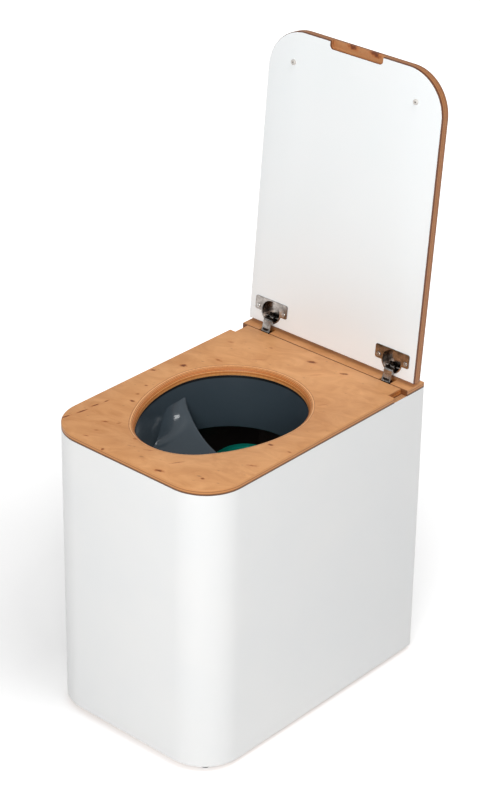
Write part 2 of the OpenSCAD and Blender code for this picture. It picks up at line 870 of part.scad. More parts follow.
module urine_canister() {
    can_y = can_front_y + can_l / 2;
    neck_y = drain[1] - can_y;
    handle_y = -can_l / 4;
    handle_half = 55;
    ring_drop = 14;
    ring_h = 4;
    ring_out = 2;
    color("teal") translate([0, can_y, base_top]) difference() {
        union() {
            linear_extrude(can_h) round_rect(can_w, can_l, can_r);
            translate([0, neck_y, can_h - tank_t])
                cylinder(r = neck_r + tank_t, h = neck_h + tank_t);
            translate([0, neck_y, can_h + neck_h - ring_drop])
                cylinder(r = neck_r + tank_t + ring_out, h = ring_h);
            translate([-handle_half, handle_y - handle_d / 2, can_h - tank_t])
                cube([2 * handle_half, handle_d, handle_gap + handle_d + tank_t]);
        }
        translate([0, 0, tank_t]) linear_extrude(can_h - 2 * tank_t)
            round_rect(can_w - 2 * tank_t, can_l - 2 * tank_t, can_r - tank_t);
        translate([0, neck_y, can_h - 2 * tank_t]) cylinder(r = neck_r, h = neck_h + 3 * tank_t);
        translate([-handle_half + handle_d, handle_y - handle_d, can_h])
            cube([2 * (handle_half - handle_d), 2 * handle_d, handle_gap]);
    }
}

// ---- Lid ----

// The whole lid panel: its rear edge at y = 0 and its inner face on z = 0
module lid_panel() {
    translate([0, -body_d, 0])
        rounded_board(body_w, body_d, corner_r, lid_t, lid_edge_r, lid_edge_r);
}

module lid_layer(z0, z1) {
    intersection() {
        lid_panel();
        translate([-body_w, -2 * body_d, z0]) cube([2 * body_w, 4 * body_d, z1 - z0]);
    }
}

module lid_cuts() {
    at_hinges() {
        translate([0, -cup_in, -over]) cylinder(r = cup_r + hole_fit, h = cup_depth + hole_fit + over);
        at_cup_screws() cylinder(r = screw_hole_r, h = cup_screw_l + hole_end);
    }
    translate([0, -body_d, -over]) linear_extrude(grip_h + over) {
        translate([-grip_w / 2, -over]) square([grip_w, grip_l - grip_r + over]);
        translate([-grip_w / 2 + grip_r, 0]) square([grip_w - 2 * grip_r, grip_l]);
        for (s = [-1, 1])
            translate([s * (grip_w / 2 - grip_r), grip_l - grip_r]) circle(grip_r);
    }
}

module lid_core() {
    color("burlywood") on_lid() difference() {
        lid_layer(skin_t, lid_t - skin_t);
        lid_cuts();
    }
}

module lid_outer_laminate() {
    color("white") on_lid() lid_layer(lid_t - laminate_t, lid_t);
}

module lid_inner_laminate() {
    color("white") on_lid() difference() {
        lid_layer(0, laminate_t);
        lid_cuts();
    }
}

module lid_bumper(s) {
    color("lightgray") on_lid() translate([s * bumper_x, -body_d + bumper_in, -bumper_h]) {
        cylinder(r1 = bumper_r - bumper_chamfer, r2 = bumper_r, h = bumper_chamfer);
        translate([0, 0, bumper_chamfer]) cylinder(r = bumper_r, h = bumper_h - bumper_chamfer);
    }
}

// ---- Hinges ----

module hinge_cup(s) {
    color("silver") on_lid() at_hinge(s) difference() {
        union() {
            translate([0, -cup_in, 0]) cylinder(r = cup_r, h = cup_depth);
            translate([0, 0, -flange_t]) linear_extrude(flange_t) {
                translate([0, -cup_in]) circle(cup_r + cup_rim);
                translate([0, -flange_in - flange_l / 2]) round_rect(flange_w, flange_l, flange_corner_r);
            }
        }
        translate([0, -cup_in, -flange_t - over])
            cylinder(r = cup_r - cup_wall, h = cup_depth + flange_t - cup_wall + over);
        at_cup_screws() translate([0, 0, -over])
            cylinder(r = screw_hole_r, h = flange_t + 2 * over);
        translate([-cup_r - over, -cup_pin_in, cup_pin_deep]) rotate([0, 90, 0])
            cylinder(r = pin_hole_r, h = 2 * (cup_r + over));
    }
}

module cup_screws() {
    color("silver") on_lid() at_hinges() at_cup_screws() screw(cup_screw_l);
}

module cup_pins() {
    color("gray") on_lid() at_hinges() for (s = [-1, 1])
        translate([s > 0 ? stub_in : -stub_out, -cup_pin_in, cup_pin_deep]) rotate([0, 90, 0])
            cylinder(r = pin_r, h = stub_out - stub_in);
}

// A channel-shaped link: two cheeks joined by a web on their outer side
module outer_link(s) {
    tip = cup_pin_shut - arm_pin;
    u = knee / norm(knee);
    v = (tip - knee) / norm(tip - knee);
    n = [-u[1], u[0]];
    m = [-v[1], v[0]];
    fold = (n + m) / (1 + n * m);
    low = link_bar / 2 - web_t;
    high = link_bar;
    start = web_from * knee;
    end = knee + web_to * (tip - knee);
    color("silver") at_outer_link() at_hinge(s) {
        for (c = [-1, 1]) across(c > 0 ? link_in : -link_w / 2, c > 0 ? link_w / 2 : -link_in)
            difference() {
                outer_link_side(tip);
                circle(pin_hole_r);
                translate(tip) circle(pin_hole_r);
            }
        across(-link_w / 2, link_w / 2) intersection() {
            outer_link_side(tip);
            polygon([start + high * n, start + low * n, knee + low * fold, end + low * m,
                end + high * m, knee + high * fold]);
        }
    }
}

module outer_link_side(tip) {
    bar([0, 0], knee, link_bar);
    bar(knee, tip, link_bar);
}

// The link inside the channel. Its end in the cup is an open eye.
module inner_link(s) {
    color("silver") at_inner_link() at_hinge(s) across(-inner_half, inner_half) difference() {
        union() {
            bar([0, 0], inner_knee, inner_bar);
            bar(inner_knee, inner_tip, inner_bar);
            circle(inner_hub_r);
            translate(inner_tip) circle(inner_eye_r);
        }
        circle(pin_hole_r);
        translate(inner_tip) circle(inner_eye_bore);
    }
}

// A channel whose two ears carry the pins above the mounting plate
module hinge_arm(s) {
    color("silver") on_rear_corner() at_hinge(s) difference() {
        union() {
            for (c = [-1, 1]) across(c > 0 ? arm_in : -arm_out, c > 0 ? arm_out : -arm_in) {
                bar(arm_pin, inner_pin, 2 * arm_ear_r);
                bar(inner_pin, arm_root, 2 * arm_ear_r);
                translate([arm_foot_back - arm_channel_d, -arm_reach])
                    square([arm_channel_d, arm_root[1] + arm_reach]);
            }
            across(-arm_out, arm_out) translate([arm_foot_back - arm_t, -arm_reach])
                square([arm_t, arm_root[1] + arm_reach]);
        }
        for (p = [arm_pin, inner_pin])
            translate([-link_w, p[0], p[1]]) rotate([0, 90, 0])
                cylinder(r = pin_hole_r, h = 2 * link_w);
        for (z = arm_screw_z)
            translate([0, arm_foot_back - arm_t - over, z]) rotate([-90, 0, 0])
                cylinder(r = screw_hole_r, h = arm_t + 2 * over);
    }
}

module arm_pins() {
    color("gray") on_rear_corner() at_hinges() {
        translate([-link_w / 2, arm_pin[0], arm_pin[1]]) rotate([0, 90, 0])
            cylinder(r = pin_r, h = link_w);
        translate([-arm_out, inner_pin[0], inner_pin[1]]) rotate([0, 90, 0])
            cylinder(r = pin_r, h = 2 * arm_out);
    }
}

module mounting_plate(s) {
    color("silver") difference() {
        on_rear_corner() at_hinge(s) {
            translate([-block_half, -back_t - mount_block_d, -mount_drop - block_fall])
                cube([2 * block_half, mount_block_d, block_fall + block_rise]);
            translate([-wing_half, -back_t - wing_t, -mount_drop - wing_rise])
                cube([2 * wing_half, wing_t, 2 * wing_rise]);
        }
        at_hinge(s) at_mounting_screws() translate([0, 0, -over])
            cylinder(r = screw_hole_r, h = wing_t + 2 * over);
        at_hinge(s) at_arm_screws() cylinder(r = screw_hole_r, h = mount_block_d);
    }
}

module mounting_screws() {
    color("silver") at_hinges() at_mounting_screws() screw(mount_screw_l);
}

module arm_screws() {
    color("silver") at_hinges() at_arm_screws() screw(arm_screw_l);
}

shell_core();
outer_laminate();
wall_backing();
back_core();
back_laminate();
back_backing();
base_board();
hinge_rail();
rail_dowels();
panel_dowels();
seat_board();
seat_cleat(-1);  // seat_cleat_left
seat_cleat(1);  // seat_cleat_right
cleat_screws();
separator();
separator_screws();
solids_container();
urine_canister();
foot(-1, -1);  // foot_front_left
foot(1, -1);  // foot_front_right
foot(-1, 1);  // foot_rear_left
foot(1, 1);  // foot_rear_right
foot_screws();
lid_core();
lid_outer_laminate();
lid_inner_laminate();
lid_bumper(-1);  // lid_bumper_left
lid_bumper(1);  // lid_bumper_right
hinge_cup(-1);  // hinge_cup_left
hinge_cup(1);  // hinge_cup_right
cup_screws();
cup_pins();
outer_link(-1);  // outer_link_left
outer_link(1);  // outer_link_right
inner_link(-1);  // inner_link_left
inner_link(1);  // inner_link_right
hinge_arm(-1);  // hinge_arm_left
hinge_arm(1);  // hinge_arm_right
arm_pins();
mounting_plate(-1);  // mounting_plate_left
mounting_plate(1);  // mounting_plate_right
mounting_screws();
arm_screws();
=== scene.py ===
# %% [markdown]
# # A composting toilet in white laminate and oiled plywood
# A slim housing of bent plywood, white outside, carries a plywood seat board with an
# egg-shaped opening. A dark separator hangs under the opening, two teal containers stand below
# it, and the lid stands open on two nickel-plated cup hinges. The exact solids come as a fixed
# frame. This script only gives them their looks: finer meshes where a curve or a rounded edge
# shows, and a finish for each of them. Lengths are in metres.

# %% Load the fixed frame
import json
import math

import bmesh
import bpy
import numpy as np
from mathutils import Matrix, Vector

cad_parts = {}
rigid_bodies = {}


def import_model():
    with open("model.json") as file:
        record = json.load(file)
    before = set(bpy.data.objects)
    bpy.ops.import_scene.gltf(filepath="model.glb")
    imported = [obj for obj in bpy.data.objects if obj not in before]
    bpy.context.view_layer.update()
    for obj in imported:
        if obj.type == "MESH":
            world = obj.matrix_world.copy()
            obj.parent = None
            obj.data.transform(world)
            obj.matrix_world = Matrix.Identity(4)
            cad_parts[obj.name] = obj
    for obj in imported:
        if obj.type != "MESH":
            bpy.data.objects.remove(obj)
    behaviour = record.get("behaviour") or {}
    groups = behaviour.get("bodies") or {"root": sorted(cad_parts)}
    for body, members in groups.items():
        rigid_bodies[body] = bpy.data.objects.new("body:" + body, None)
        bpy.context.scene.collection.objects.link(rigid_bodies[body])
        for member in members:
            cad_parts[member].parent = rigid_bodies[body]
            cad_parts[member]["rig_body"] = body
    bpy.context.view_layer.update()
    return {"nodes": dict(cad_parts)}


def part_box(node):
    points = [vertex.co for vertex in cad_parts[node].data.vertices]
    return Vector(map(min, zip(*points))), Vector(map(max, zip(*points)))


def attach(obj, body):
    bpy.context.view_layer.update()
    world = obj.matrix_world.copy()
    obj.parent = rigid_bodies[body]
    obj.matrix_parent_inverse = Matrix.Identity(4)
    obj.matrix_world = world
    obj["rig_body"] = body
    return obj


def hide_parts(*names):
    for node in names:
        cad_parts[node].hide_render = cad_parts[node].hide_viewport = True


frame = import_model()
nodes = frame["nodes"]
for plain in list(bpy.data.materials):
    bpy.data.materials.remove(plain)
print("nodes in the frame:", len(nodes))

# %% [markdown]
# ## Where the viewer stands
# The camera looks down on the housing from the front right, about three and a half metres away.
# Its direction is an azimuth, an elevation and a small roll, as they are read off a tripod.

# %% Camera
MM = 0.001


def placed(name, data):
    """A new object in the scene with the given mesh, lamp or camera."""
    item = bpy.data.objects.new(name, data)
    bpy.context.scene.collection.objects.link(item)
    return item


VIEW_AZIMUTH = math.radians(41.5884)
VIEW_ELEVATION = math.radians(28.3194)
VIEW_ROLL = math.radians(0.8167)

back = Vector((math.sin(VIEW_AZIMUTH) * math.cos(VIEW_ELEVATION),
               -math.cos(VIEW_AZIMUTH) * math.cos(VIEW_ELEVATION),
               math.sin(VIEW_ELEVATION)))
right = Vector((math.cos(VIEW_AZIMUTH), math.sin(VIEW_AZIMUTH), 0))
up = back.cross(right)
camera_x = right * math.cos(VIEW_ROLL) + up * math.sin(VIEW_ROLL)
camera_y = up * math.cos(VIEW_ROLL) - right * math.sin(VIEW_ROLL)

camera = placed("camera", bpy.data.cameras.new("camera"))
turn = Matrix((camera_x, camera_y, back)).transposed().to_4x4()
camera.matrix_world = Matrix.Translation((2.0032, -2.26351, 2.0890)) @ turn
camera.data.sensor_fit = "AUTO"
camera.data.sensor_width = 36
camera.data.lens = 112.75
camera.data.clip_end = 100
bpy.context.scene.camera = camera
print("camera at", [round(v, 3) for v in camera.location])

# %% [markdown]
# ## Reading the housing's own measures
# Finishes and finer meshes have to sit where the solids are, so the lengths that they share are
# read from the solids' boxes and not typed a second time.

# %% Measures taken from the frame
body_low, body_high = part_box("outer_laminate")
separator_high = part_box("separator")[1]

HALF_WIDTH = body_high.x
FRONT_Y = body_low.y
SEAT_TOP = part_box("seat_board")[1].z
WALL_DEPTH = HALF_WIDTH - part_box("base_board")[1].x
CORNER_R = 63 * MM
print("housing", round(2 * HALF_WIDTH, 4), "wide, seat at", round(SEAT_TOP, 4))

# %% [markdown]
# ## Small helpers for building finishes
# A finish is a graph of shader nodes, built by short helpers. Most of them take sockets or plain
# values, add one node to the graph that a socket belongs to, and return the node's output.

# %% Helpers for shader graphs
def add(tree, kind, sockets=None, **options):
    """Adds a node; a socket's value is a number, a colour or another node's output."""
    item = tree.nodes.new(kind)
    for name, value in options.items():
        setattr(item, name, value)
    for name, value in (sockets or {}).items():
        if isinstance(value, bpy.types.NodeSocket):
            tree.links.new(value, item.inputs[name])
        else:
            item.inputs[name].default_value = value
    return item


def new_finish(name, **sockets):
    """A material with one Principled shader, and the object's own coordinates; underscores in
    a socket's name stand for spaces."""
    finish = bpy.data.materials.new(name)
    finish.use_nodes = True
    tree = finish.node_tree
    tree.nodes.clear()
    shader = add(tree, "ShaderNodeBsdfPrincipled",
                 {key.replace("_", " "): value for key, value in sockets.items()})
    output = add(tree, "ShaderNodeOutputMaterial")
    tree.links.new(shader.outputs[0], output.inputs[0])
    return finish, shader, add(tree, "ShaderNodeTexCoord").outputs["Object"]


def math_node(operation, a, b=0.0):
    tree = next(v for v in (a, b) if isinstance(v, bpy.types.NodeSocket)).id_data
    return add(tree, "ShaderNodeMath", {0: a, 1: b}, operation=operation).outputs[0]


def times(a, b):
    return math_node("MULTIPLY", a, b)


def plus(a, b):
    return math_node("ADD", a, b)


def minus(a, b):
    return math_node("SUBTRACT", a, b)


def larger(a, b):
    return math_node("MAXIMUM", a, b)


def axes(place):
    """The three coordinates of a place, each as a socket."""
    return add(place.id_data, "ShaderNodeSeparateXYZ", {0: place}).outputs


def remap(value, low, high, to_low=0.0, to_high=1.0):
    """Carries the stretch low..high over to to_low..to_high, and stops at its ends."""
    return add(value.id_data, "ShaderNodeMapRange",
               {"Value": value, "From Min": low, "From Max": high,
                "To Min": to_low, "To Max": to_high}).outputs[0]


def blend(share, first, second):
    """Mixes two colours; 6 and 7 are the sockets that a mix node keeps for colours."""
    return add(share.id_data, "ShaderNodeMix", {0: share, 6: first, 7: second},
               data_type="RGBA").outputs[2]


def noise(place, scale, detail=4.0, roughness=0.5, distortion=0.0):
    return add(place.id_data, "ShaderNodeTexNoise",
               {"Vector": place, "Scale": scale, "Detail": detail, "Roughness": roughness,
                "Distortion": distortion}).outputs["Fac"]


def mapped(place, scale=(1, 1, 1), turn=(0, 0, 0), origin=(0, 0, 0), kind="POINT"):
    return add(place.id_data, "ShaderNodeMapping",
               {"Vector": place, "Location": origin, "Rotation": turn, "Scale": scale},
               vector_type=kind).outputs[0]


def surface(shader, colour, pattern, rough_low, rough_high, height, strength, depth):
    """Links a colour, a roughness that follows a pattern, and a bump of some metres' depth."""
    tilt = add(shader.id_data, "ShaderNodeBump",
               {"Height": height, "Strength": strength, "Distance": depth}).outputs[0]
    rough = remap(pattern, 0.3, 0.7, rough_low, rough_high)
    for value, name in ((colour, "Base Color"), (rough, "Roughness"), (tilt, "Normal")):
        shader.id_data.links.new(value, shader.inputs[name])


def rgb(red, green, blue):
    """A colour as it reads on a screen, 0 to 255, in the linear values that a shader takes."""
    linear = [((c / 255 + 0.055) / 1.055) ** 2.4 if c > 10 else c / 255 / 12.92
              for c in (red, green, blue)]
    return (*linear, 1.0)


print("shader helpers ready")

# %% [markdown]
# ## White laminate
# The housing and the lid wear a thin white high-pressure laminate. A real sheet shows a faint
# orange-peel ripple in its gloss and a slightly uneven sheen from wiping. A very shallow bump and
# a slow noise in the roughness give both, and keep the colour itself nearly flat.

# %% White laminate
def white_laminate(name, low, high, edge_mask=None):
    """edge_mask is a function that returns a socket: 1 on the sheet's cut edge, else 0."""
    finish, shader, place = new_finish(name, Specular_IOR_Level=0.5)
    cloudy = noise(place, 9.0, 3.0)
    colour = blend(remap(cloudy, 0.3, 0.7), low, high)
    if edge_mask:
        colour = blend(edge_mask(place), colour, rgb(104, 66, 44))
    surface(shader, colour, noise(place, 35.0, 3.0), 0.30, 0.36,
            noise(place, 900.0, 2.0), 0.05, 0.2 * MM)
    return finish


WHITE = white_laminate("white_laminate", rgb(236, 237, 237), rgb(239, 239, 238))
print("finish:", WHITE.name)

# %% [markdown]
# ## Oiled birch plywood: the face
# The face veneer is peeled off a turning log, so it shows broad cloudy figure and no straight
# lines. Soft blotches of several sizes are mixed, a fine fibre pattern lies over them at a slant,
# and thin dark pores and pin knots are scattered with a Voronoi texture.

# %% Face veneer
def veneer(place, grain_turn, light, dark):
    """Colour and fibre pattern of a rotary-cut face, with its grain turned by an angle."""
    along = mapped(place, turn=(0, 0, grain_turn))
    blotches = noise(mapped(along, scale=(22.0, 38.0, 38.0)), 1.0, 5.0, 0.6, 1.2)
    broad = noise(mapped(along, scale=(7.0, 10.0, 10.0)), 1.0, 3.0)
    fibres = noise(mapped(along, scale=(90.0, 900.0, 900.0)), 1.0, 3.0, 0.6)
    tone = plus(times(blotches, 0.55), times(broad, 0.45))
    colour = blend(remap(tone, 0.36, 0.62), dark, light)
    colour = blend(remap(fibres, 0.35, 0.75, 0.0, 0.20), colour, dark)
    return colour, fibres, along


def flecks(along, colour, mark):
    """Short dark pores and pin knots that lie along the grain."""
    for scale, rare, size, share in ((34.0, 0.80, 0.16, 0.50), (85.0, 0.86, 0.22, 0.38)):
        cells = add(along.id_data, "ShaderNodeTexVoronoi",
                    {"Vector": mapped(along, scale=(scale, 2.2 * scale, 2.2 * scale)),
                     "Scale": 1.0}, feature="F1").outputs
        pick = add(along.id_data, "ShaderNodeSeparateColor", {0: cells["Color"]}).outputs[0]
        spot = remap(cells["Distance"], 0.3 * size, size, 1.0, 0.0)
        chosen = math_node("GREATER_THAN", pick, rare)
        colour = blend(times(times(spot, chosen), share), colour, mark)
    return colour


print("veneer pattern ready")

# %% [markdown]
# ## Knots that everyone notices
# A few marks are so plain that one would know the board by them: short cracks at the left edge,
# a dark knot behind the opening and some brown ones round it. Each is a listed ellipse, its edge
# made ragged by noise so that none looks stamped.

# %% Placed knots
def knots(place, colour, marks, halo, core):
    """marks: (x, y, half length, half width, turn in degrees, strength), lengths in mm."""
    tree = place.id_data
    ragged = times(minus(noise(place, 260.0, 3.0), 0.5), 1.3)
    total = None
    for x, y, half_length, half_width, degrees, strength in marks:
        local = mapped(place, scale=(half_length * MM, half_width * MM, 1.0),
                       turn=(0, 0, math.radians(degrees)), origin=(x * MM, y * MM, 0),
                       kind="TEXTURE")
        flat = add(tree, "ShaderNodeVectorMath", {0: local, 1: (1, 1, 0)},
                   operation="MULTIPLY").outputs[0]
        reach = add(tree, "ShaderNodeVectorMath", {0: flat}, operation="LENGTH").outputs["Value"]
        spot = remap(plus(reach, ragged), 0.3, 1.3, strength, 0.0)
        total = spot if total is None else larger(total, spot)
    colour = blend(remap(total, 0.0, 0.5, 0.0, 0.75), colour, halo)
    return blend(remap(total, 0.38, 0.85), colour, core)


SEAT_KNOTS = [
    (-141, -210, 10, 1.6, 75, 1.0), (-135, -182, 10, 1.7, 80, 1.0), (-134, -157, 7, 1.5, 80, 1.0),
    (-131, -138, 5, 1.3, 85, 0.9), (-126, 13, 5.5, 4.2, 30, 1.0), (-148, -27, 4.5, 2.4, 40, 0.9),
    (-105, -113, 4.2, 2.6, 0, 0.9), (-114, -93, 3.4, 2.2, 50, 0.6), (-123, -67, 3.4, 2.0, 20, 0.6),
    (-91, -181, 5.0, 2.0, 30, 0.7), (-74, -171, 3.6, 1.8, 60, 0.6), (-82, -226, 5, 1.7, 20, 0.6),
    (-83, -206, 4, 1.4, 35, 0.55), (-27, -187, 4.0, 2.2, 20, 0.65), (-40, -237, 2.2, 2.0, 0, 1.0),
    (55, -227, 7.5, 3.4, 20, 0.8), (111, -203, 3.0, 2.4, 0, 0.8), (58, -195, 12, 1.1, 60, 0.55),
    (7, -197, 7, 1.3, 30, 0.5), (-101, 60, 7, 3.0, 0, 0.5), (1, 147, 7.5, 3.8, 20, 0.85),
    (58, 151, 7, 2.8, 30, 0.75), (117, -74, 4.4, 2.6, 20, 0.9), (148, -72, 3.6, 1.8, 0, 0.6),
    (136, -133, 8, 2.2, 30, 0.5), (-71, 140, 3.4, 2.2, 0, 0.5), (-126, 114, 5, 2.2, 30, 0.45),
    (30, 120, 12, 2.0, 50, 0.25), (-60, 100, 12, 2.2, 40, 0.25), (95, 60, 10, 1.8, 60, 0.3),
]
print("placed knots on the seat:", len(SEAT_KNOTS))

# %% [markdown]
# ## Oiled birch plywood: the layers
# Where the board is cut, its layers show: thin dark glue lines, pale long grain and deeper orange
# end grain, which drinks more oil. The depth below the face picks the colour from a ramp. The
# broad rounding of the seat's lip cuts the layers at a slant, so the same ramp draws wide rings
# there and thin lines on the straight edge.

# %% Plywood
FACE_VENEER = 0.12 * MM


def layer_ramp(depth, thick, stops):
    """stops: (millimetres below the face, colour); the ramp runs over the whole thickness."""
    share = math_node("DIVIDE", depth, thick)
    ramp = add(depth.id_data, "ShaderNodeValToRGB", {0: share})
    bar = ramp.color_ramp
    bar.interpolation = "LINEAR"
    for index, (at, colour) in enumerate(stops):
        spot = min(at * MM / thick, 1.0)
        stop = bar.elements[index] if index < 2 else bar.elements.new(spot)
        stop.position, stop.color = spot, colour
    return ramp.outputs[0]


def plies(first, count, pitch, pale, deep, line):
    """The stops of a stack of layers: a glue line, then pale or deep grain by turns."""
    stops = []
    for index in range(count):
        top = first + index * pitch
        grain = pale if index % 2 else deep
        stops += [(top, line), (top + 0.22, line), (top + 0.34, grain),
                  (top + pitch - 0.12, grain)]
    return stops


def from_outline(place):
    """How deep a point lies inside the housing's outline, seen from above."""
    x, y, _ = axes(place)
    aside = math_node("ABSOLUTE", x)
    beside = larger(minus(aside, HALF_WIDTH - CORNER_R), 0.0)
    ahead = larger(minus(FRONT_Y + CORNER_R, y), 0.0)
    square = plus(times(beside, beside), times(ahead, ahead))
    return minus(CORNER_R, math_node("SQRT", square))


def plywood(name, top, thick, stops, light, dark, grain_turn, marks=(), tilt=None, edge=None,
            seam=None):
    """top is the face's height, thick the depth that the stops span, tilt the board's lean, edge
    the layers of its outer edge, and seam the y of a dark joint line."""
    finish, shader, place = new_finish(name, Specular_IOR_Level=0.35)
    if tilt:
        place = mapped(place, turn=tilt[0], origin=tilt[1], kind="TEXTURE")
    _, y, height = axes(place)
    face, fibres, along = veneer(place, grain_turn, light, dark)
    face = flecks(along, face, rgb(126, 76, 46))
    wavy = times(minus(noise(place, 55.0, 2.0), 0.5), 0.25 * MM)
    depth = plus(minus(top, height), wavy)
    cut = layer_ramp(depth, thick, stops)
    streaks = noise(mapped(place, scale=(420.0, 420.0, 60.0)), 1.0, 2.0)
    cut = blend(remap(streaks, 0.45, 0.8, 0.0, 0.35), cut, rgb(150, 84, 44))
    below = math_node("GREATER_THAN", depth, FACE_VENEER)
    if edge:
        outer = math_node("LESS_THAN", from_outline(place), 1.0 * MM)
        cut = blend(outer, cut, layer_ramp(depth, thick, edge))
    colour = blend(below, face, cut)
    if seam:
        near = math_node("ABSOLUTE", minus(y, seam))
        colour = blend(remap(near, 0.5 * MM, 1.3 * MM, 0.85, 0.0), colour, rgb(104, 62, 36))
    if marks:
        colour = knots(place, colour, marks, rgb(182, 104, 50), rgb(112, 54, 20))
    surface(shader, colour, fibres, 0.42, 0.56, fibres, 0.22, 0.2 * MM)
    return finish


PALE_PLY, DEEP_PLY, GLUE_LINE = rgb(224, 154, 88), rgb(202, 120, 56), rgb(122, 66, 30)
SEAT_LAYERS = ([(0.0, rgb(208, 146, 96)), (0.14, rgb(186, 126, 80)), (0.3, rgb(186, 126, 80)),
                (0.42, rgb(238, 180, 126)), (0.82, rgb(230, 166, 108))]
               + plies(0.9, 1, 1.0, PALE_PLY, rgb(224, 154, 94), rgb(136, 78, 40))
               + plies(1.9, 1, 1.3, PALE_PLY, rgb(214, 138, 76), GLUE_LINE)
               + plies(3.2, 4, 1.9, PALE_PLY, DEEP_PLY, GLUE_LINE))
# The outer edge turns dark brown from 6.5 mm below the face and darker towards the bottom.
EDGE_LAYERS = [(0.0, rgb(206, 148, 96)), (2.6, rgb(200, 138, 84)), (2.9, rgb(150, 98, 56)),
               (3.6, rgb(150, 98, 56)), (3.9, rgb(202, 140, 84)), (6.0, rgb(186, 122, 70)),
               (6.5, rgb(112, 74, 44)), (9.0, rgb(92, 64, 42))]
SEAM_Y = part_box("hinge_rail")[0].y
SEAT_PLY = plywood("seat_plywood", SEAT_TOP, 13 * MM, SEAT_LAYERS, rgb(228, 168, 114),
                   rgb(203, 140, 86), math.radians(-20), marks=SEAT_KNOTS, edge=EDGE_LAYERS,
                   seam=SEAM_Y)
RAIL_PLY = plywood("rail_plywood", SEAT_TOP, 13 * MM, SEAT_LAYERS, rgb(226, 164, 110),
                   rgb(199, 136, 82), math.radians(-12), edge=EDGE_LAYERS, seam=SEAM_Y)
print("finishes:", SEAT_PLY.name, RAIL_PLY.name, "with", len(SEAT_LAYERS), "stops")

# %% [markdown]
# ## The lid's own directions
# The lid stands open, so its layers lie across a tilted direction. The shader measures height in
# the lid's own frame: the origin is the rear edge of its inner face, the turn is the angle at
# which it stands. The two white sheets show their dark cores where they are cut, so their finish
# turns brown below the face.

# %% Plywood and laminate of the lid
LID_TURN = math.radians(-94.8)
LID_ROTATION = np.array(Matrix.Rotation(LID_TURN, 3, "X"))


def lid_local(points):
    """Carries points into the lid's directions: x across, y along it, z through it."""
    return np.asarray(points) @ LID_ROTATION


def in_lid(name):
    """The corner points of a solid in the lid's directions."""
    return lid_local([corner.co for corner in nodes[name].data.vertices])


sheet, core = in_lid("lid_inner_laminate"), in_lid("lid_core")
inner_face = sheet[:, 2].min()
LID_TILT = ((LID_TURN, 0, 0), tuple(LID_ROTATION @ (0, sheet[:, 1].max(), inner_face)))
LID_THICK = in_lid("lid_outer_laminate")[:, 2].max() - inner_face
core_from, core_to = core[:, 2].min() - inner_face, core[:, 2].max() - inner_face
CORE_LAYERS = ([(0.0, rgb(112, 66, 38)), (0.9, rgb(126, 78, 46)), (1.2, rgb(194, 136, 90))]
               + plies(2.6, 4, 2.0, rgb(190, 132, 86), rgb(172, 114, 70), rgb(128, 78, 46))
               + [(10.6, rgb(120, 72, 42)), (12.0, rgb(104, 60, 34))])
RECESS_KNOTS = [(-13, -447.5, 9, 4.4, 5, 1.0), (27, -448, 10, 4.8, 5, 1.0)]
LID_PLY = plywood("lid_plywood", core_to, core_to - core_from, CORE_LAYERS, rgb(206, 148, 100),
                  rgb(176, 118, 74), math.radians(90), marks=RECESS_KNOTS, tilt=LID_TILT)


def lid_sheet_edge(place):
    height = axes(mapped(place, turn=LID_TILT[0], origin=LID_TILT[1], kind="TEXTURE"))[2]
    out = math_node("ABSOLUTE", minus(height, LID_THICK / 2))
    return math_node("LESS_THAN", out, LID_THICK / 2 - FACE_VENEER)


# Painted light: the lid's white is a lighter, cooler copy of the housing's white laminate, so the
# lid reads brighter and the warm light bounced onto it from the wood is offset.
LID_WHITE = white_laminate("lid_laminate", rgb(246, 250, 251), rgb(248, 251, 252),
                           lid_sheet_edge)
print("lid core is", round((core_to - core_from) * 1000, 2), "mm thick")

# %% [markdown]
# ## The bent wall's edge
# The wall is laid up in a mould, so its layers follow the rounded corners. They show on the
# lower edge only.

# %% Layered edge of the bent wall
def bent_plywood():
    finish, shader, place = new_finish("body_plywood", Specular_IOR_Level=0.4)
    depth = from_outline(place)
    ply = math_node("DIVIDE", depth, 1.4 * MM)
    even = remap(math_node("PINGPONG", ply, 1.0), 0.35, 0.65)
    layered = times(even, math_node("LESS_THAN", depth, WALL_DEPTH))
    face, fibres, _ = veneer(place, math.radians(90), rgb(214, 164, 116), rgb(190, 138, 94))
    colour = blend(times(layered, 0.5), face, rgb(150, 98, 60))
    surface(shader, colour, fibres, 0.5, 0.62, fibres, 0.2, 0.2 * MM)
    return finish


BODY_PLY = bent_plywood()
print("finish:", BODY_PLY.name)

# %% [markdown]
# ## Plastics, rubber, and a backing film painted dark as shade
# The moulded parts differ in colour and gloss more than in pattern. Each one still gets a faint
# mottling, a moulding ripple and an uneven roughness, because an even plastic looks like a
# drawing. The separator's top band is painted black: painted shadow in the gap under the seat
# board.

# %% Moulded finishes
def moulded(name, colour, deeper, rough_low, rough_high, grain=600.0, depth=0.1 * MM,
            relief=0.15, shadow_gap_from=None, **sockets):
    """Above the height given for the top band, the piece is painted black: painted shadow in the
    gap under the seat board.
    """
    finish, shader, place = new_finish(name, **sockets)
    mottle_and_shadow = blend(remap(noise(place, 14.0, 4.0), 0.3, 0.7), deeper, colour)
    # Painted shadow: the separator's top band turns black, as the gap under the seat board lies in
    # shade.
    if shadow_gap_from:
        in_shadow_gap = remap(axes(place)[2], shadow_gap_from, shadow_gap_from + 0.5 * MM)
        mottle_and_shadow = blend(in_shadow_gap, mottle_and_shadow, rgb(9, 10, 11))
    surface(shader, mottle_and_shadow, noise(place, 50.0, 4.0), rough_low, rough_high,
            noise(place, grain, 3.0), relief, depth)
    return finish


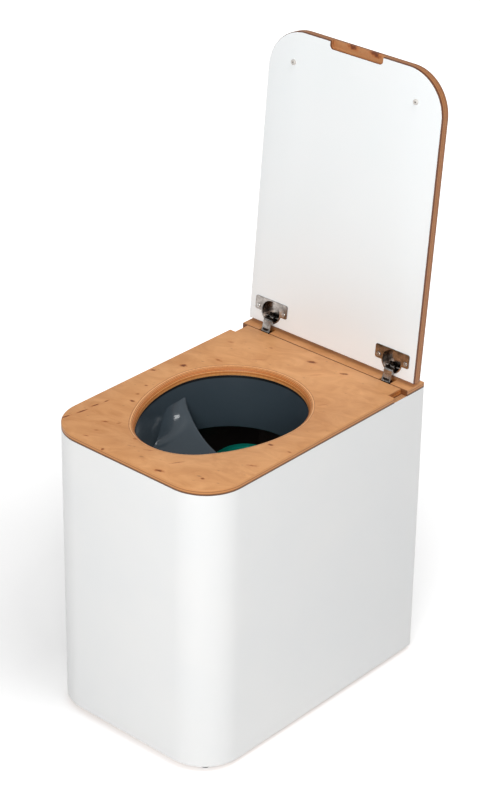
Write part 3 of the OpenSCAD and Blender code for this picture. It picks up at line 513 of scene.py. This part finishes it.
SEPARATOR_PLASTIC = moulded("separator_plastic", rgb(55, 66, 74), rgb(52, 63, 71),
                            0.42, 0.48, grain=160.0, depth=0.04 * MM, relief=0.06,
                            shadow_gap_from=separator_high.z - 4.2 * MM, Specular_IOR_Level=0.2,
                            Coat_Weight=0.7, Coat_Roughness=0.12)
CONTAINER_PLASTIC = moulded("container_plastic", rgb(20, 186, 164), rgb(18, 172, 152),
                            0.34, 0.46)
FOOT_RUBBER = moulded("foot_rubber", rgb(38, 48, 46), rgb(28, 38, 36), 0.6, 0.8,
                      grain=1500.0, depth=0.3 * MM)
BUMPER_PLASTIC = moulded("bumper_plastic", rgb(214, 210, 204), rgb(202, 198, 192), 0.3, 0.42)
# Painted shade: the backing film inside the housing is nearly black, so the inside of the housing
# reads as shade.
SHADE_BACKING = moulded("dark_backing", rgb(40, 32, 28), rgb(32, 26, 23), 0.6, 0.75, grain=1200.0)
print("moulded finishes:", 5)

# %% [markdown]
# ## Plated steel
# The hinges are pressed steel under bright nickel. A bare metallic shader mirrors too cleanly, so
# fine scratches along the sheet and a cloudy roughness break the mirror a little. In the cup and
# between the links ambient occlusion paints shade into what lies deep. The plates that hide
# inside the housing are zinc: greyer and duller.

# %% Metals
def plated(name, colour, rough_low, rough_high, tarnish=0.82, pocket_shade=0.0):
    finish, shader, place = new_finish(name, Metallic=1.0)
    scratches = noise(mapped(place, scale=(300.0, 4000.0, 900.0)), 1.0, 2.0)
    worn_and_shaded = blend(remap(noise(place, 120.0), 0.35, 0.65), colour,
                 tuple(tarnish * c for c in colour[:3]) + (1.0,))
    # Painted shade: ambient occlusion turns the cup and the gaps between the links dark brown,
    # where little light reaches.
    if pocket_shade:
        open_share = add(shader.id_data, "ShaderNodeAmbientOcclusion",
                         {"Distance": 12 * MM}, samples=8).outputs["AO"]
        worn_and_shaded = blend(remap(open_share, 0.25, 0.85, pocket_shade, 0.0), worn_and_shaded, rgb(58, 44, 36))
    surface(shader, worn_and_shaded, scratches, rough_low, rough_high, scratches, 0.08, 0.05 * MM)
    return finish


HINGE_STEEL = plated("hinge_steel", rgb(172, 164, 158), 0.12, 0.26, tarnish=0.45, pocket_shade=0.95)
LINK_STEEL = plated("link_steel", rgb(182, 177, 172), 0.14, 0.26, tarnish=0.45, pocket_shade=0.5)
PLATE_STEEL = plated("plate_steel", rgb(176, 178, 180), 0.32, 0.46)
SCREW_STEEL = plated("screw_steel", rgb(190, 186, 182), 0.22, 0.34)
print("metal finishes:", 4)

# %% [markdown]
# ## Solid wood
# The dowels and the two cleats under the seat board are solid wood. They use the same veneer
# pattern, without layers.

# %% Dowels and cleats
def solid_wood():
    finish, shader, place = new_finish("hardwood")
    colour, fibres, along = veneer(place, math.radians(90), rgb(224, 188, 142),
                                   rgb(200, 158, 112))
    surface(shader, flecks(along, colour, rgb(130, 88, 56)), fibres, 0.5, 0.64,
            fibres, 0.3, 0.2 * MM)
    return finish


HARDWOOD = solid_wood()
print("finish:", HARDWOOD.name)

# %% [markdown]
# ## Finishes on the solids that stay
# A solid whose shape is right as it is keeps its mesh and only gets its finish. Each finish also
# has a slot: the kind of material that it counts as when the part is used again.

# %% Dress the plain solids
DRESSING = (
    (WHITE, "outer_laminate back_laminate"),
    (BODY_PLY, "shell_core back_core base_board"),
    (SHADE_BACKING, "wall_backing back_backing"),
    (RAIL_PLY, "hinge_rail"),
    (SEAT_PLY, "seat_board"),
    (HARDWOOD, "rail_dowels panel_dowels seat_cleat_left seat_cleat_right"),
    (SEPARATOR_PLASTIC, "separator"),
    (CONTAINER_PLASTIC, "solids_container urine_canister"),
    (FOOT_RUBBER, "foot_front_left foot_front_right foot_rear_left foot_rear_right"),
    (LID_PLY, "lid_core"),
    (LID_WHITE, "lid_outer_laminate lid_inner_laminate"),
    (BUMPER_PLASTIC, "lid_bumper_left lid_bumper_right"),
    (HINGE_STEEL, "hinge_cup_left hinge_cup_right"),
    (LINK_STEEL, "outer_link_left outer_link_right inner_link_left inner_link_right "
                 "hinge_arm_left hinge_arm_right"),
    (PLATE_STEEL, "mounting_plate_left mounting_plate_right"),
    (SCREW_STEEL, "cleat_screws separator_screws foot_screws cup_screws cup_pins arm_pins "
                  "mounting_screws arm_screws"),
)
FINISHES = {name: finish for finish, names in DRESSING for name in names.split()}
SLOTS = {finish.name: finish.name for finish, _ in DRESSING}
SLOTS.update({RAIL_PLY.name: "seat_plywood", LID_PLY.name: "body_plywood",
              LID_WHITE.name: "white_laminate", LINK_STEEL.name: "hinge_steel"})

for name, finish in FINISHES.items():
    nodes[name].data.materials.clear()
    nodes[name].data.materials.append(finish)
print("dressed", len(FINISHES), "of", len(nodes), "solids")

# %% [markdown]
# ## Smooth copies of the curved solids
# A solid arrives as loose triangles with a flat look. Where a curve shows, a copy is merged, its
# flat parts are joined again, and its shading is smoothed up to a given angle. A small bevel on
# the hinge parts catches the light as a real broken edge does. The copy stands for the solid.

# %% Helper for a smooth, rounded copy
SMOOTH_ANGLE, BROKEN_EDGE = 32, 0.25 * MM


def smoothed(mesh, angle):
    mesh.shade_smooth()
    mesh.set_sharp_from_angle(angle=math.radians(angle))
    return mesh


def merged(mesh):
    """A mesh as an editable shape, its loose triangles joined at their corners."""
    shape = bmesh.new()
    shape.from_mesh(mesh)
    bmesh.ops.remove_doubles(shape, verts=shape.verts, dist=2e-6)
    return shape


def finer_copy(name, edge=0.0):
    source = nodes[name]
    mesh = source.data.copy()
    mesh.name = name + "_shape"
    shape = merged(mesh)
    bmesh.ops.dissolve_limit(shape, angle_limit=math.radians(0.25), verts=shape.verts,
                             edges=shape.edges, delimit={"NORMAL"})
    shape.to_mesh(mesh)
    shape.free()
    piece = placed(name + "_piece", smoothed(mesh, SMOOTH_ANGLE))
    if edge:
        rounding = piece.modifiers.new("broken edge", "BEVEL")
        rounding.width = edge
        rounding.segments = 2
        rounding.limit_method = "ANGLE"
        rounding.angle_limit = math.radians(SMOOTH_ANGLE)
        rounding.harden_normals = True
    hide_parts(name)
    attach(piece, source["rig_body"])


for name in ("outer_laminate", "shell_core", "wall_backing", "seat_board", "lid_core",
             "lid_outer_laminate", "lid_inner_laminate", "solids_container", "urine_canister"):
    finer_copy(name)
for side in ("left", "right"):
    for name in ("hinge_cup_", "outer_link_", "inner_link_", "hinge_arm_"):
        finer_copy(name + side, edge=BROKEN_EDGE)
    for place in ("front_", "rear_"):
        finer_copy("foot_" + place + side)
print("smooth copies made")

# %% [markdown]
# ## Helpers for pieces made from scratch
# A loft joins a row of closed outlines like the ribs of a boat; a lathe is a loft round an axis.
# A ring of outlines closes on itself, and an open row gets a cap at each end. The normals are
# worked out again at the end, because the outlines may run either way round.

# %% Loft and new piece
def final_mesh(item):
    """The mesh of an object after its modifiers; the object itself is deleted."""
    mesh = bpy.data.meshes.new_from_object(
        item.evaluated_get(bpy.context.evaluated_depsgraph_get()))
    bpy.data.objects.remove(item)
    return mesh


def loft(shape, outlines, ring=False):
    """outlines: arrays of points, all of one length; each is a closed loop."""
    rows = [[shape.verts.new(point) for point in outline] for outline in outlines]
    count = len(rows[0])
    pairs = list(zip(rows, rows[1:])) + ([(rows[-1], rows[0])] if ring else [])
    for low, high in pairs:
        for i in range(count):
            j = (i + 1) % count
            shape.faces.new((low[i], low[j], high[j], high[i]))
    if not ring:
        shape.faces.new(rows[0])
        shape.faces.new(rows[-1])


def shape_to_mesh(shape, name, smooth_angle):
    bmesh.ops.recalc_face_normals(shape, faces=shape.faces)
    mesh = bpy.data.meshes.new(name)
    shape.to_mesh(mesh)
    shape.free()
    return smoothed(mesh, smooth_angle)


def new_piece(name, mesh, finish, *stands_for):
    """A piece in place of one or more solids, on the body of the first of them."""
    if finish.name not in mesh.materials:
        mesh.materials.append(finish)
    piece = placed(name, mesh)
    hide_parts(*stands_for)
    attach(piece, nodes[stands_for[0]]["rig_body"])
    print(name, "has", len(mesh.polygons), "faces")


# %% [markdown]
# ## The egg that rules the separator
# The opening is an egg of four arcs, and the separator's wall follows it. A ray from a point
# inside tells how far away the egg is, and a growth moves the whole egg outwards. Lengths here
# are in millimetres, as a moulder would write them on the drawing.

# %% Egg outline
REAR_R, TIP_R, TIP_SHIFT = 107.0, 80.0, 79.0
SIDE_R, SIDE_SHIFT, SIDE_TURN = 209.074, 102.074, math.radians(37.74)
OPENING_SETBACK = 57.0
EGG_Y = FRONT_Y / MM + OPENING_SETBACK + TIP_R + TIP_SHIFT
EYE = np.array([0.0, EGG_Y - TIP_SHIFT / 2])


def towards(angle):
    return np.array([math.cos(angle), math.sin(angle)])


def to_circle(start, way, centre, radius):
    offset = start - centre
    b = offset @ way
    return -b + math.sqrt(b * b - offset @ offset + radius * radius)


def egg_point(angle, growth):
    """The point of the grown egg that is seen from its eye at an angle."""
    way = towards(angle)
    side = min(to_circle(EYE, way, np.array([s * SIDE_SHIFT, EGG_Y]), SIDE_R + growth)
               for s in (-1, 1))
    y = EYE[1] + side * way[1]
    if y > EGG_Y:
        side = to_circle(EYE, way, np.array([0, EGG_Y]), REAR_R + growth)
    elif y < EGG_Y - (SIDE_R + growth) * math.sin(SIDE_TURN):
        side = to_circle(EYE, way, np.array([0, EGG_Y - TIP_SHIFT]), TIP_R + growth)
    return EYE + side * way


around = np.linspace(0, 2 * math.pi, 144, endpoint=False)
egg = np.array([egg_point(a, 0) for a in around])
print("egg", np.round(np.ptp(egg, axis=0), 1), "mm")

# %% [markdown]
# ## The separator: wall, flange and spout
# The wall hangs under the seat board as one thin skin with an outward flange. Its section is the
# same all round, only its lower edge steps up in front of the drain, where the bowl closes it. So
# the section is lofted round the egg. The spout is a short tube.

# %% Separator wall and spout
SEP_TOP = separator_high.z / MM
SEP_T, SEP_GAP, SEP_FLANGE = 3.0, 1.0, 17.0
CHUTE_Z = SEP_TOP - 84.0
BOWL_RIM_Z = SEP_TOP - 73.0
CREST_Z, CREST_END_Z, CREST_HALF = SEP_TOP - 75.0, SEP_TOP - 23.0, REAR_R - 2
DRAIN = np.array([0.0, FRONT_Y / MM + OPENING_SETBACK + 76.0])
DRAIN_Z, SPOUT_R, SPOUT_LENGTH = SEP_TOP - 98.0, 11.0, 46.0


def eased(u):
    v = np.clip(u, 0, 1)
    return v * v * (3 - 2 * v)


def wall_section(angle):
    y = egg_point(angle, SEP_GAP)[1]
    low = CHUTE_Z + (BOWL_RIM_Z - 2 * SEP_T - CHUTE_Z) * eased((DRAIN[1] - y) / 8 + 0.5)
    inner, outer, edge = SEP_GAP, SEP_GAP + SEP_T, SEP_GAP + SEP_T + SEP_FLANGE
    steps = [(inner, low + 0.8), (inner, SEP_TOP - 1.2), (inner + 0.35, SEP_TOP - 0.35),
             (inner + 1.2, SEP_TOP), (edge - 0.6, SEP_TOP), (edge, SEP_TOP - 0.6),
             (edge, SEP_TOP - SEP_T), (outer + 2, SEP_TOP - SEP_T),
             (outer + 0.5, SEP_TOP - SEP_T - 0.5), (outer, SEP_TOP - SEP_T - 2),
             (outer, low + 0.8), (outer - 0.8, low), (inner + 0.8, low)]
    return [(*(egg_point(angle, growth) * MM), z * MM) for growth, z in steps]


def tube_section(angle):
    low, high = DRAIN_Z - SPOUT_LENGTH, DRAIN_Z - SEP_T / 2
    steps = [(SPOUT_R, low + 0.5), (SPOUT_R, high), (SPOUT_R + SEP_T, high),
             (SPOUT_R + SEP_T, low + 0.8), (SPOUT_R + SEP_T - 0.8, low), (SPOUT_R + 0.5, low)]
    return [(*((DRAIN + r * towards(angle)) * MM), z * MM) for r, z in steps]


moulding = bmesh.new()
loft(moulding, [wall_section(a) for a in around], ring=True)
loft(moulding, [tube_section(a) for a in around[::3]], ring=True)
print("wall and spout:", len(moulding.faces), "faces")

# %% [markdown]
# ## The separator: divider and bowl
# The divider is part of an upright cylinder. Its crest sweeps down from both sides, and on its
# front the bowl falls away: as a full shoulder near the sides, as a shallow dish in the middle.
# Each section starts on the chute's side, turns over the crest in a round that widens towards the
# wall, runs down the bowl to the front wall and comes back underneath. Lofting the sections from
# left to right gives one closed body; the drain is cut out of it with a Boolean.

# %% Separator divider and bowl
DIVIDER_R = 240.0
DIVIDER_AT = np.array([0.0, FRONT_Y / MM + OPENING_SETBACK + 155.0 + DIVIDER_R])
CREST_ARC = (CREST_HALF ** 2 + (CREST_END_Z - CREST_Z) ** 2) / (2 * (CREST_END_Z - CREST_Z))
WALL_MIDDLE = SEP_GAP + SEP_T / 2
BOWL_DEPTH = (CREST_Z + BOWL_RIM_Z) / 2 - DRAIN_Z
SIDE_POWER, DISH_POWER, CREST_ROUND, END_ROUND = 1.6, 2.2, 2.0, 13.0
SHOULDER_FROM, SHOULDER_RUN, SHOULDER_POWER = 0.70, 0.16, 1.8
BOWL_COLUMNS, BOWL_ROWS, ROUND_STEPS, MOULD_ANGLE = 96, 28, 8, 35


def divider_end(s):
    """Where the divider's middle line meets the wall's middle line, s = -1 left, 1 right."""
    angles = np.linspace(0, 2 * math.pi, 4000)
    points = np.array([egg_point(a, WALL_MIDDLE) for a in angles])
    gap = np.linalg.norm(points - DIVIDER_AT, axis=1) - (DIVIDER_R + SEP_T / 2)
    here = points[:, 0] * s > 0
    return points[np.argmin(np.where(here, np.abs(gap), 1e9))]


def bearing(point, centre):
    angle = math.atan2(point[1] - centre[1], point[0] - centre[0])
    return angle + 2 * math.pi if angle < math.pi / 2 else angle


LEFT, RIGHT = divider_end(-1), divider_end(1)
CREST_TURNS = [bearing(p, DIVIDER_AT) for p in (LEFT, RIGHT)]
WALL_TURNS = [bearing(p, EYE) for p in (LEFT, RIGHT)]


def crest_at(x):
    return CREST_Z + CREST_ARC - math.sqrt(CREST_ARC ** 2 - x * x)


def bowl_point(t, s):
    a, b = (turns[0] + (turns[1] - turns[0]) * t for turns in (CREST_TURNS, WALL_TURNS))
    crest = DIVIDER_AT + (DIVIDER_R + SEP_T / 2) * towards(a)
    rim = egg_point(b, WALL_MIDDLE)
    off = abs(2 * t - 1)
    high = crest_at(crest[0]) - SEP_T / 4
    low = BOWL_RIM_Z + (CREST_END_Z - BOWL_RIM_Z) * eased((off - SHOULDER_FROM) / SHOULDER_RUN)
    fall = s ** (1 + (SHOULDER_POWER - 1) * off)
    dip = BOWL_DEPTH * (1 - off ** SIDE_POWER) * (1 - abs(2 * s - 1) ** DISH_POWER)
    flat = crest + (rim - crest) * s
    return np.array([*flat, high + (low - high) * fall - dip])


def divider_point(t, radius, z):
    a = CREST_TURNS[0] + (CREST_TURNS[1] - CREST_TURNS[0]) * t
    return np.array([*(DIVIDER_AT + radius * towards(a)), z])


def bowl_section(t):
    off = abs(2 * t - 1)
    width = np.linalg.norm(bowl_point(t, 1)[:2] - bowl_point(t, 0)[:2])
    crest_round = CREST_ROUND + (END_ROUND - CREST_ROUND) * off ** 3
    first = min(1.5 * crest_round / width, 0.6)
    top = divider_point(t, DIVIDER_R, bowl_point(t, 0)[2] + SEP_T / 4)
    start, over = top - (0, 0, crest_round), bowl_point(t, first)
    start[2] = max(start[2], CHUTE_Z + 1.0)
    q = np.linspace(0, 1, ROUND_STEPS)[:, None]
    crest = (1 - q) ** 2 * start + 2 * q * (1 - q) * top + q ** 2 * over
    rows = np.linspace(first, 1, BOWL_ROWS)
    face = [bowl_point(t, s) for s in rows[1:]]
    under = [p - (0, 0, SEP_T) for p in face[::-1]]
    foot = divider_point(t, DIVIDER_R + SEP_T, CHUTE_Z)
    knee = divider_point(t, DIVIDER_R + SEP_T, max(over[2] - SEP_T, CHUTE_Z + 0.5))
    base = divider_point(t, DIVIDER_R, CHUTE_Z)
    return [tuple(p * MM) for p in (base, *crest, *face, *under, knee, foot)]


bowl = bmesh.new()
loft(bowl, [bowl_section(t) for t in np.linspace(0.012, 0.988, BOWL_COLUMNS)])
bowl_mesh = shape_to_mesh(bowl, "bowl", MOULD_ANGLE)
drill = bmesh.new()
loft(drill, [[(*((DRAIN + SPOUT_R * towards(a)) * MM), z * MM) for a in around[::3]]
             for z in (DRAIN_Z - 12, DRAIN_Z + 12)])
drill_mesh = shape_to_mesh(drill, "drill", MOULD_ANGLE)
bowl_object, drill_object = placed("bowl", bowl_mesh), placed("drill", drill_mesh)
cut = bowl_object.modifiers.new("drain", "BOOLEAN")
cut.object, cut.solver = drill_object, "EXACT"
moulding.from_mesh(final_mesh(bowl_object))
bpy.data.objects.remove(drill_object)
new_piece("separator_piece", shape_to_mesh(moulding, "separator_shape", MOULD_ANGLE),
          SEPARATOR_PLASTIC, "separator")
print("bowl from", np.round(LEFT, 1), "to", np.round(RIGHT, 1))

# %% [markdown]
# ## Bumpers of the lid
# Each bumper is a small pale plastic button with a dark pin in its middle. A few steps of radius
# and height, turned round its axis, give the rounded shoulder and the hollow for the pin. The
# solid tells where it sits, in the lid's own directions.

# %% Lid bumpers
BUMPER_PIN = moulded("bumper_pin", rgb(70, 70, 72), rgb(54, 54, 56), 0.4, 0.5)
SLOTS[BUMPER_PIN.name] = "bumper_plastic"


def lid_bumper(side):
    flat = in_lid("lid_bumper_" + side)
    low, high = flat.min(axis=0), flat.max(axis=0)
    middle, radius, tall = (low + high) / 2, (high[0] - low[0]) / 2, high[2] - low[2]
    steps = [(0.02, 0.42), (0.30, 0.42), (0.34, 0.88), (0.42, 0.98), (0.58, 1.0), (0.80, 0.94),
             (0.94, 0.76), (1.0, 0.45), (1.0, 0.0), (0.02, 0.0)]
    shape = bmesh.new()
    turns = np.linspace(0, 2 * math.pi, 40, endpoint=False)
    loft(shape, [[LID_ROTATION @ (*(middle[:2] + r * radius * towards(a)), high[2] - h * tall)
                  for r, h in steps] for a in turns], ring=True)
    mesh = shape_to_mesh(shape, "lid_bumper_" + side + "_shape", 40)
    mesh.materials.append(BUMPER_PLASTIC)
    mesh.materials.append(BUMPER_PIN)
    for face in mesh.polygons:
        spot = lid_local([face.center])[0]
        reach = math.dist(spot[:2], middle[:2])
        face.material_index = int(reach < 0.31 * radius and spot[2] < high[2] - 0.1 * tall)
    new_piece("lid_bumper_" + side + "_piece", mesh, BUMPER_PLASTIC, "lid_bumper_" + side)


for side in ("left", "right"):
    lid_bumper(side)

# %% [markdown]
# ## Screws with Geometry Nodes
# Twenty-eight screws hold the parts together. They look alike, so one tree makes them: it builds
# a head, a shank and a point from its named sizes, cuts a cross into the head, and puts a copy on
# every point of a small cloud. The instances are made real at the end, because the exported model
# has none.

# %% Tree for screws
def group_with(name, *sizes):
    """An empty tree with a geometry input, named lengths, a material and an output."""
    tree = bpy.data.node_groups.new(name, "GeometryNodeTree")
    tree.is_modifier = True
    sockets = [("Geometry", "INPUT", "Geometry"), *((size, "INPUT", "Float") for size in sizes),
               ("Finish", "INPUT", "Material"), ("Geometry", "OUTPUT", "Geometry")]
    for socket, way, kind in sockets:
        tree.interface.new_socket(name=socket, in_out=way, socket_type="NodeSocket" + kind)
    return tree, tree.nodes.new("NodeGroupInput").outputs, tree.nodes.new("NodeGroupOutput")


def xyz(tree, x, y, z):
    return add(tree, "ShaderNodeCombineXYZ", {0: x, 1: y, 2: z}).outputs[0]


def along_z(tree, geometry, height):
    return add(tree, "GeometryNodeTransform", {
        "Geometry": geometry, "Translation": xyz(tree, 0.0, 0.0, height)}).outputs[0]


def cone(tree, bottom, top, height, at):
    mesh = add(tree, "GeometryNodeMeshCone", {
        "Vertices": 24, "Radius Bottom": bottom, "Radius Top": top, "Depth": height})
    return along_z(tree, mesh.outputs["Mesh"], at)


def on_cloud(tree, points, copy, finish, output):
    """Copies on every point, turned along its direction, made real and given a finish."""
    way = add(tree, "GeometryNodeInputNamedAttribute", {"Name": "direction"},
              data_type="FLOAT_VECTOR").outputs[0]
    turned = add(tree, "FunctionNodeAlignRotationToVector", {"Vector": way}, axis="Z").outputs[0]
    cast = add(tree, "GeometryNodeInstanceOnPoints",
               {"Points": points, "Instance": copy, "Rotation": turned}).outputs[0]
    real = add(tree, "GeometryNodeRealizeInstances", {"Geometry": cast}).outputs[0]
    done = add(tree, "GeometryNodeSetMaterial", {"Geometry": real, "Material": finish}).outputs[0]
    tree.links.new(done, output.inputs[0])


def screw_tree():
    tree, sizes, output = group_with("screw_maker", "Head radius", "Head height", "Shank radius",
                                     "Shank length", "Cross width")
    head_r, head_h = sizes["Head radius"], sizes["Head height"]
    shank_r, length = sizes["Shank radius"], sizes["Shank length"]
    bevel = times(head_h, 0.4)
    plain = minus(head_h, bevel)
    point = times(shank_r, 1.6)
    body = [cone(tree, minus(head_r, bevel), head_r, bevel, times(head_h, -1.0)),
            cone(tree, head_r, head_r, plain, times(plain, -1.0)),
            cone(tree, shank_r, shank_r, minus(length, point), 0.0),
            cone(tree, shank_r, 0.0002, point, minus(length, point))]
    whole = add(tree, "GeometryNodeMeshBoolean", operation="UNION", solver="EXACT")
    for part in body:
        tree.links.new(part, whole.inputs["Mesh"])
    arm = times(head_r, 1.1)
    deep = times(head_h, 1.4)
    bars = []
    for across, up in ((arm, sizes["Cross width"]), (sizes["Cross width"], arm)):
        bar = add(tree, "GeometryNodeMeshCube",
                  {"Size": xyz(tree, across, up, deep)}).outputs["Mesh"]
        bars.append(along_z(tree, bar, times(head_h, -1.0)))
    crossed = add(tree, "GeometryNodeMeshBoolean", {"Mesh 1": whole.outputs["Mesh"]},
                  operation="DIFFERENCE", solver="EXACT")
    for bar in bars:
        tree.links.new(bar, crossed.inputs["Mesh 2"])
    on_cloud(tree, sizes["Geometry"], crossed.outputs["Mesh"], sizes["Finish"], output)
    return tree


SCREW_TREE = screw_tree()
print("screw tree:", len(SCREW_TREE.nodes), "nodes")

# %% [markdown]
# ## Where the screws sit
# Each solid of screws is several separate bodies in one mesh, told apart by following the edges
# from corner to corner. The way a screw points is known from what it holds, so its head, its end
# and its middle follow from the corner points alone.

# %% Put the screws in
def islands(name):
    """The corner points of each separate body in a solid's mesh."""
    shape = merged(nodes[name].data)
    left, groups = set(shape.verts), []
    while left:
        reached = [left.pop()]
        for corner in reached:
            near = {edge.other_vert(corner) for edge in corner.link_edges} & left
            left -= near
            reached += near
        groups.append(np.array([corner.co for corner in reached]))
    shape.free()
    return groups


def cloud(name, places, directions):
    mesh = bpy.data.meshes.new(name)
    mesh.from_pydata([tuple(p) for p in places], [], [])
    way = mesh.attributes.new("direction", "FLOAT_VECTOR", "POINT")
    way.data.foreach_set("vector", np.ravel(directions))
    return placed(name, mesh)


def grown(name, tree, places, directions, finish, smooth_angle, **sizes):
    """Runs a tree on a cloud and returns the result as one plain mesh."""
    item = cloud(name, places, directions)
    modifier = item.modifiers.new("maker", "NODES")
    modifier.node_group = tree
    values = {key.replace("_", " "): value for key, value in sizes.items()}
    for socket in tree.interface.items_tree:
        if socket.in_out == "INPUT" and socket.name in values:
            modifier[socket.identifier] = values[socket.name]
        elif socket.in_out == "INPUT" and socket.name == "Finish":
            modifier[socket.identifier] = finish
    mesh = final_mesh(item)
    mesh.name = name
    return smoothed(mesh, smooth_angle)


HEAD_HEIGHT, HEAD_R, SHANK_R = 1.2 * MM, 3.4 * MM, 1.75 * MM
UPWARDS, BACKWARDS = np.array([0.0, 0.0, 1.0]), np.array([0.0, 1.0, 0.0])
INTO_LID = LID_ROTATION @ (0.0, 0.0, 1.0)
SCREWS = {"cleat_screws": UPWARDS, "separator_screws": UPWARDS, "foot_screws": UPWARDS,
          "mounting_screws": BACKWARDS, "arm_screws": BACKWARDS, "cup_screws": INTO_LID}
for name, way in SCREWS.items():
    groups = islands(name)
    reach = [points @ way for points in groups]
    seats = [points[r > r.max() - 0.1 * MM].mean(axis=0) - (np.ptp(r) - HEAD_HEIGHT) * way
             for points, r in zip(groups, reach)]
    mesh = grown(name + "_shape", SCREW_TREE, seats, [way] * len(seats), SCREW_STEEL, 30,
                 Head_radius=HEAD_R, Head_height=HEAD_HEIGHT, Shank_radius=SHANK_R,
                 Shank_length=np.ptp(reach[0]) - HEAD_HEIGHT, Cross_width=0.9 * MM)
    new_piece(name + "_piece", mesh, SCREW_STEEL, name)

# %% [markdown]
# ## Dowels with Geometry Nodes
# Dowels have flutes that let the glue out and tapered ends that find the hole. A star outline
# swept along a short line draws the flutes, and a smaller scale at the two ends makes the taper.

# %% Tree for dowels, and the dowels
def dowel_tree():
    tree, sizes, output = group_with("dowel_maker", "Radius", "Length", "Taper")
    top = xyz(tree, 0.0, 0.0, sizes["Length"])
    line = add(tree, "GeometryNodeCurvePrimitiveLine", {"End": top}).outputs[0]
    fine = add(tree, "GeometryNodeResampleCurve", {"Curve": line, "Count": 21}).outputs[0]
    share = add(tree, "GeometryNodeSplineParameter").outputs["Factor"]
    from_end = math_node("MINIMUM", share, minus(1.0, share))
    tapered = math_node("DIVIDE", sizes["Taper"], sizes["Length"])
    scale = remap(from_end, 0.0, tapered, 0.8, 1.0)
    flutes = add(tree, "GeometryNodeCurveStar", {
        "Points": 12, "Outer Radius": sizes["Radius"],
        "Inner Radius": times(sizes["Radius"], 0.94)}).outputs["Curve"]
    sweep = add(tree, "GeometryNodeCurveToMesh", {
        "Curve": fine, "Profile Curve": flutes, "Scale": scale, "Fill Caps": True})
    on_cloud(tree, sizes["Geometry"], sweep.outputs["Mesh"], sizes["Finish"], output)
    return tree


DOWEL_TREE = dowel_tree()
for name in ("rail_dowels", "panel_dowels"):
    feet, ways = [], []
    for points in islands(name):
        spread = np.ptp(points, axis=0)
        way = np.eye(3)[int(np.argmax(spread))]
        feet.append((points.min(axis=0) + points.max(axis=0)) / 2 - spread.max() / 2 * way)
        ways.append(way)
    mesh = grown(name + "_shape", DOWEL_TREE, feet, ways, HARDWOOD, 25,
                 Radius=2.99 * MM, Length=spread.max(), Taper=1.2 * MM)
    new_piece(name + "_piece", mesh, HARDWOOD, name)

# %% [markdown]
# ## Studio
# The object stands on a white sweep under even light. A broad lamp in front gives the bright
# band on the rounded corner. A second one high on the right throws the faint shadow to the left
# and isn't mirrored. The side window is only mirrored: it glints on the separator. The floor adds
# a little light of its own for the camera, so its lit part comes out white and its shadow stays.

# %% Floor, lamps and world
NEAR_GLOW = 0.27
SHADE_MIDDLE, SHADE_REACH = (-0.22, 0.05, 0.0), (0.2, 1.05)


def floor_finish():
    finish, shader, place = new_finish("studio_floor", Roughness=0.6, Specular_IOR_Level=0.2,
                                       Emission_Color=(1, 1, 1, 1))
    tree = shader.id_data
    grey = remap(noise(place, 3.0), 0.3, 0.7, 0.80, 0.81)
    tree.links.new(grey, shader.inputs["Base Color"])
    rays = add(tree, "ShaderNodeLightPath").outputs
    seen = larger(rays["Is Camera Ray"],
                  larger(rays["Is Glossy Ray"], rays["Is Transmission Ray"]))
    away = add(tree, "ShaderNodeVectorMath", {0: place, 1: SHADE_MIDDLE},
               operation="DISTANCE").outputs["Value"]
    glow = remap(away, *SHADE_REACH, NEAR_GLOW, 1.0)
    tree.links.new(times(seen, glow), shader.inputs["Emission Strength"])
    return finish


def studio_floor(size):
    mesh = bpy.data.meshes.new("studio_floor")
    mesh.from_pydata([(-size, -size, 0), (size, -size, 0), (size, size, 0), (-size, size, 0)],
                     [], [(0, 1, 2, 3)])
    mesh.materials.append(floor_finish())
    placed("studio_floor", mesh)


def soft_lamp(name, place, target, width, height, power):
    lamp = bpy.data.lights.new(name, "AREA")
    lamp.shape = "RECTANGLE"
    lamp.size, lamp.size_y = width, height
    lamp.energy = power
    item = placed(name, lamp)
    item.location = place
    item.rotation_euler = (Vector(place) - Vector(target)).to_track_quat("Z", "Y").to_euler()
    return item


def studio_world(level, in_mirrors):
    """White for the eye, dimmer as a light, and between the two in a reflection."""
    world = bpy.data.worlds.new("studio")
    world.use_nodes = True
    tree = world.node_tree
    tree.nodes.clear()
    rays = add(tree, "ShaderNodeLightPath").outputs
    seen = larger(rays["Is Camera Ray"], rays["Is Transmission Ray"])
    mirrored = times(rays["Is Glossy Ray"], in_mirrors)
    strength = larger(larger(seen, mirrored), level)
    light = add(tree, "ShaderNodeBackground", {"Color": (1, 1, 1, 1), "Strength": strength})
    output = add(tree, "ShaderNodeOutputWorld")
    tree.links.new(light.outputs[0], output.inputs[0])
    bpy.context.scene.world = world


studio_floor(30.0)
soft_lamp("key lamp", (1.35, -2.25, 1.9), (0, 0, 0.4), 1.4, 1.4, 54.0)
top_lamp = soft_lamp("top lamp", (0.9, 0.15, 3.1), (0, 0, 0.3), 1.2, 1.2, 20.0)
top_lamp.visible_glossy = False
side_window = soft_lamp("side window", (2.45, 0.34, 1.52), (-0.1, -0.03, 0.4), 0.5, 0.8, 15.0)
side_window.visible_diffuse = False
studio_world(0.345, 0.6)
bpy.context.scene.view_settings.view_transform = "Standard"
print("studio ready")
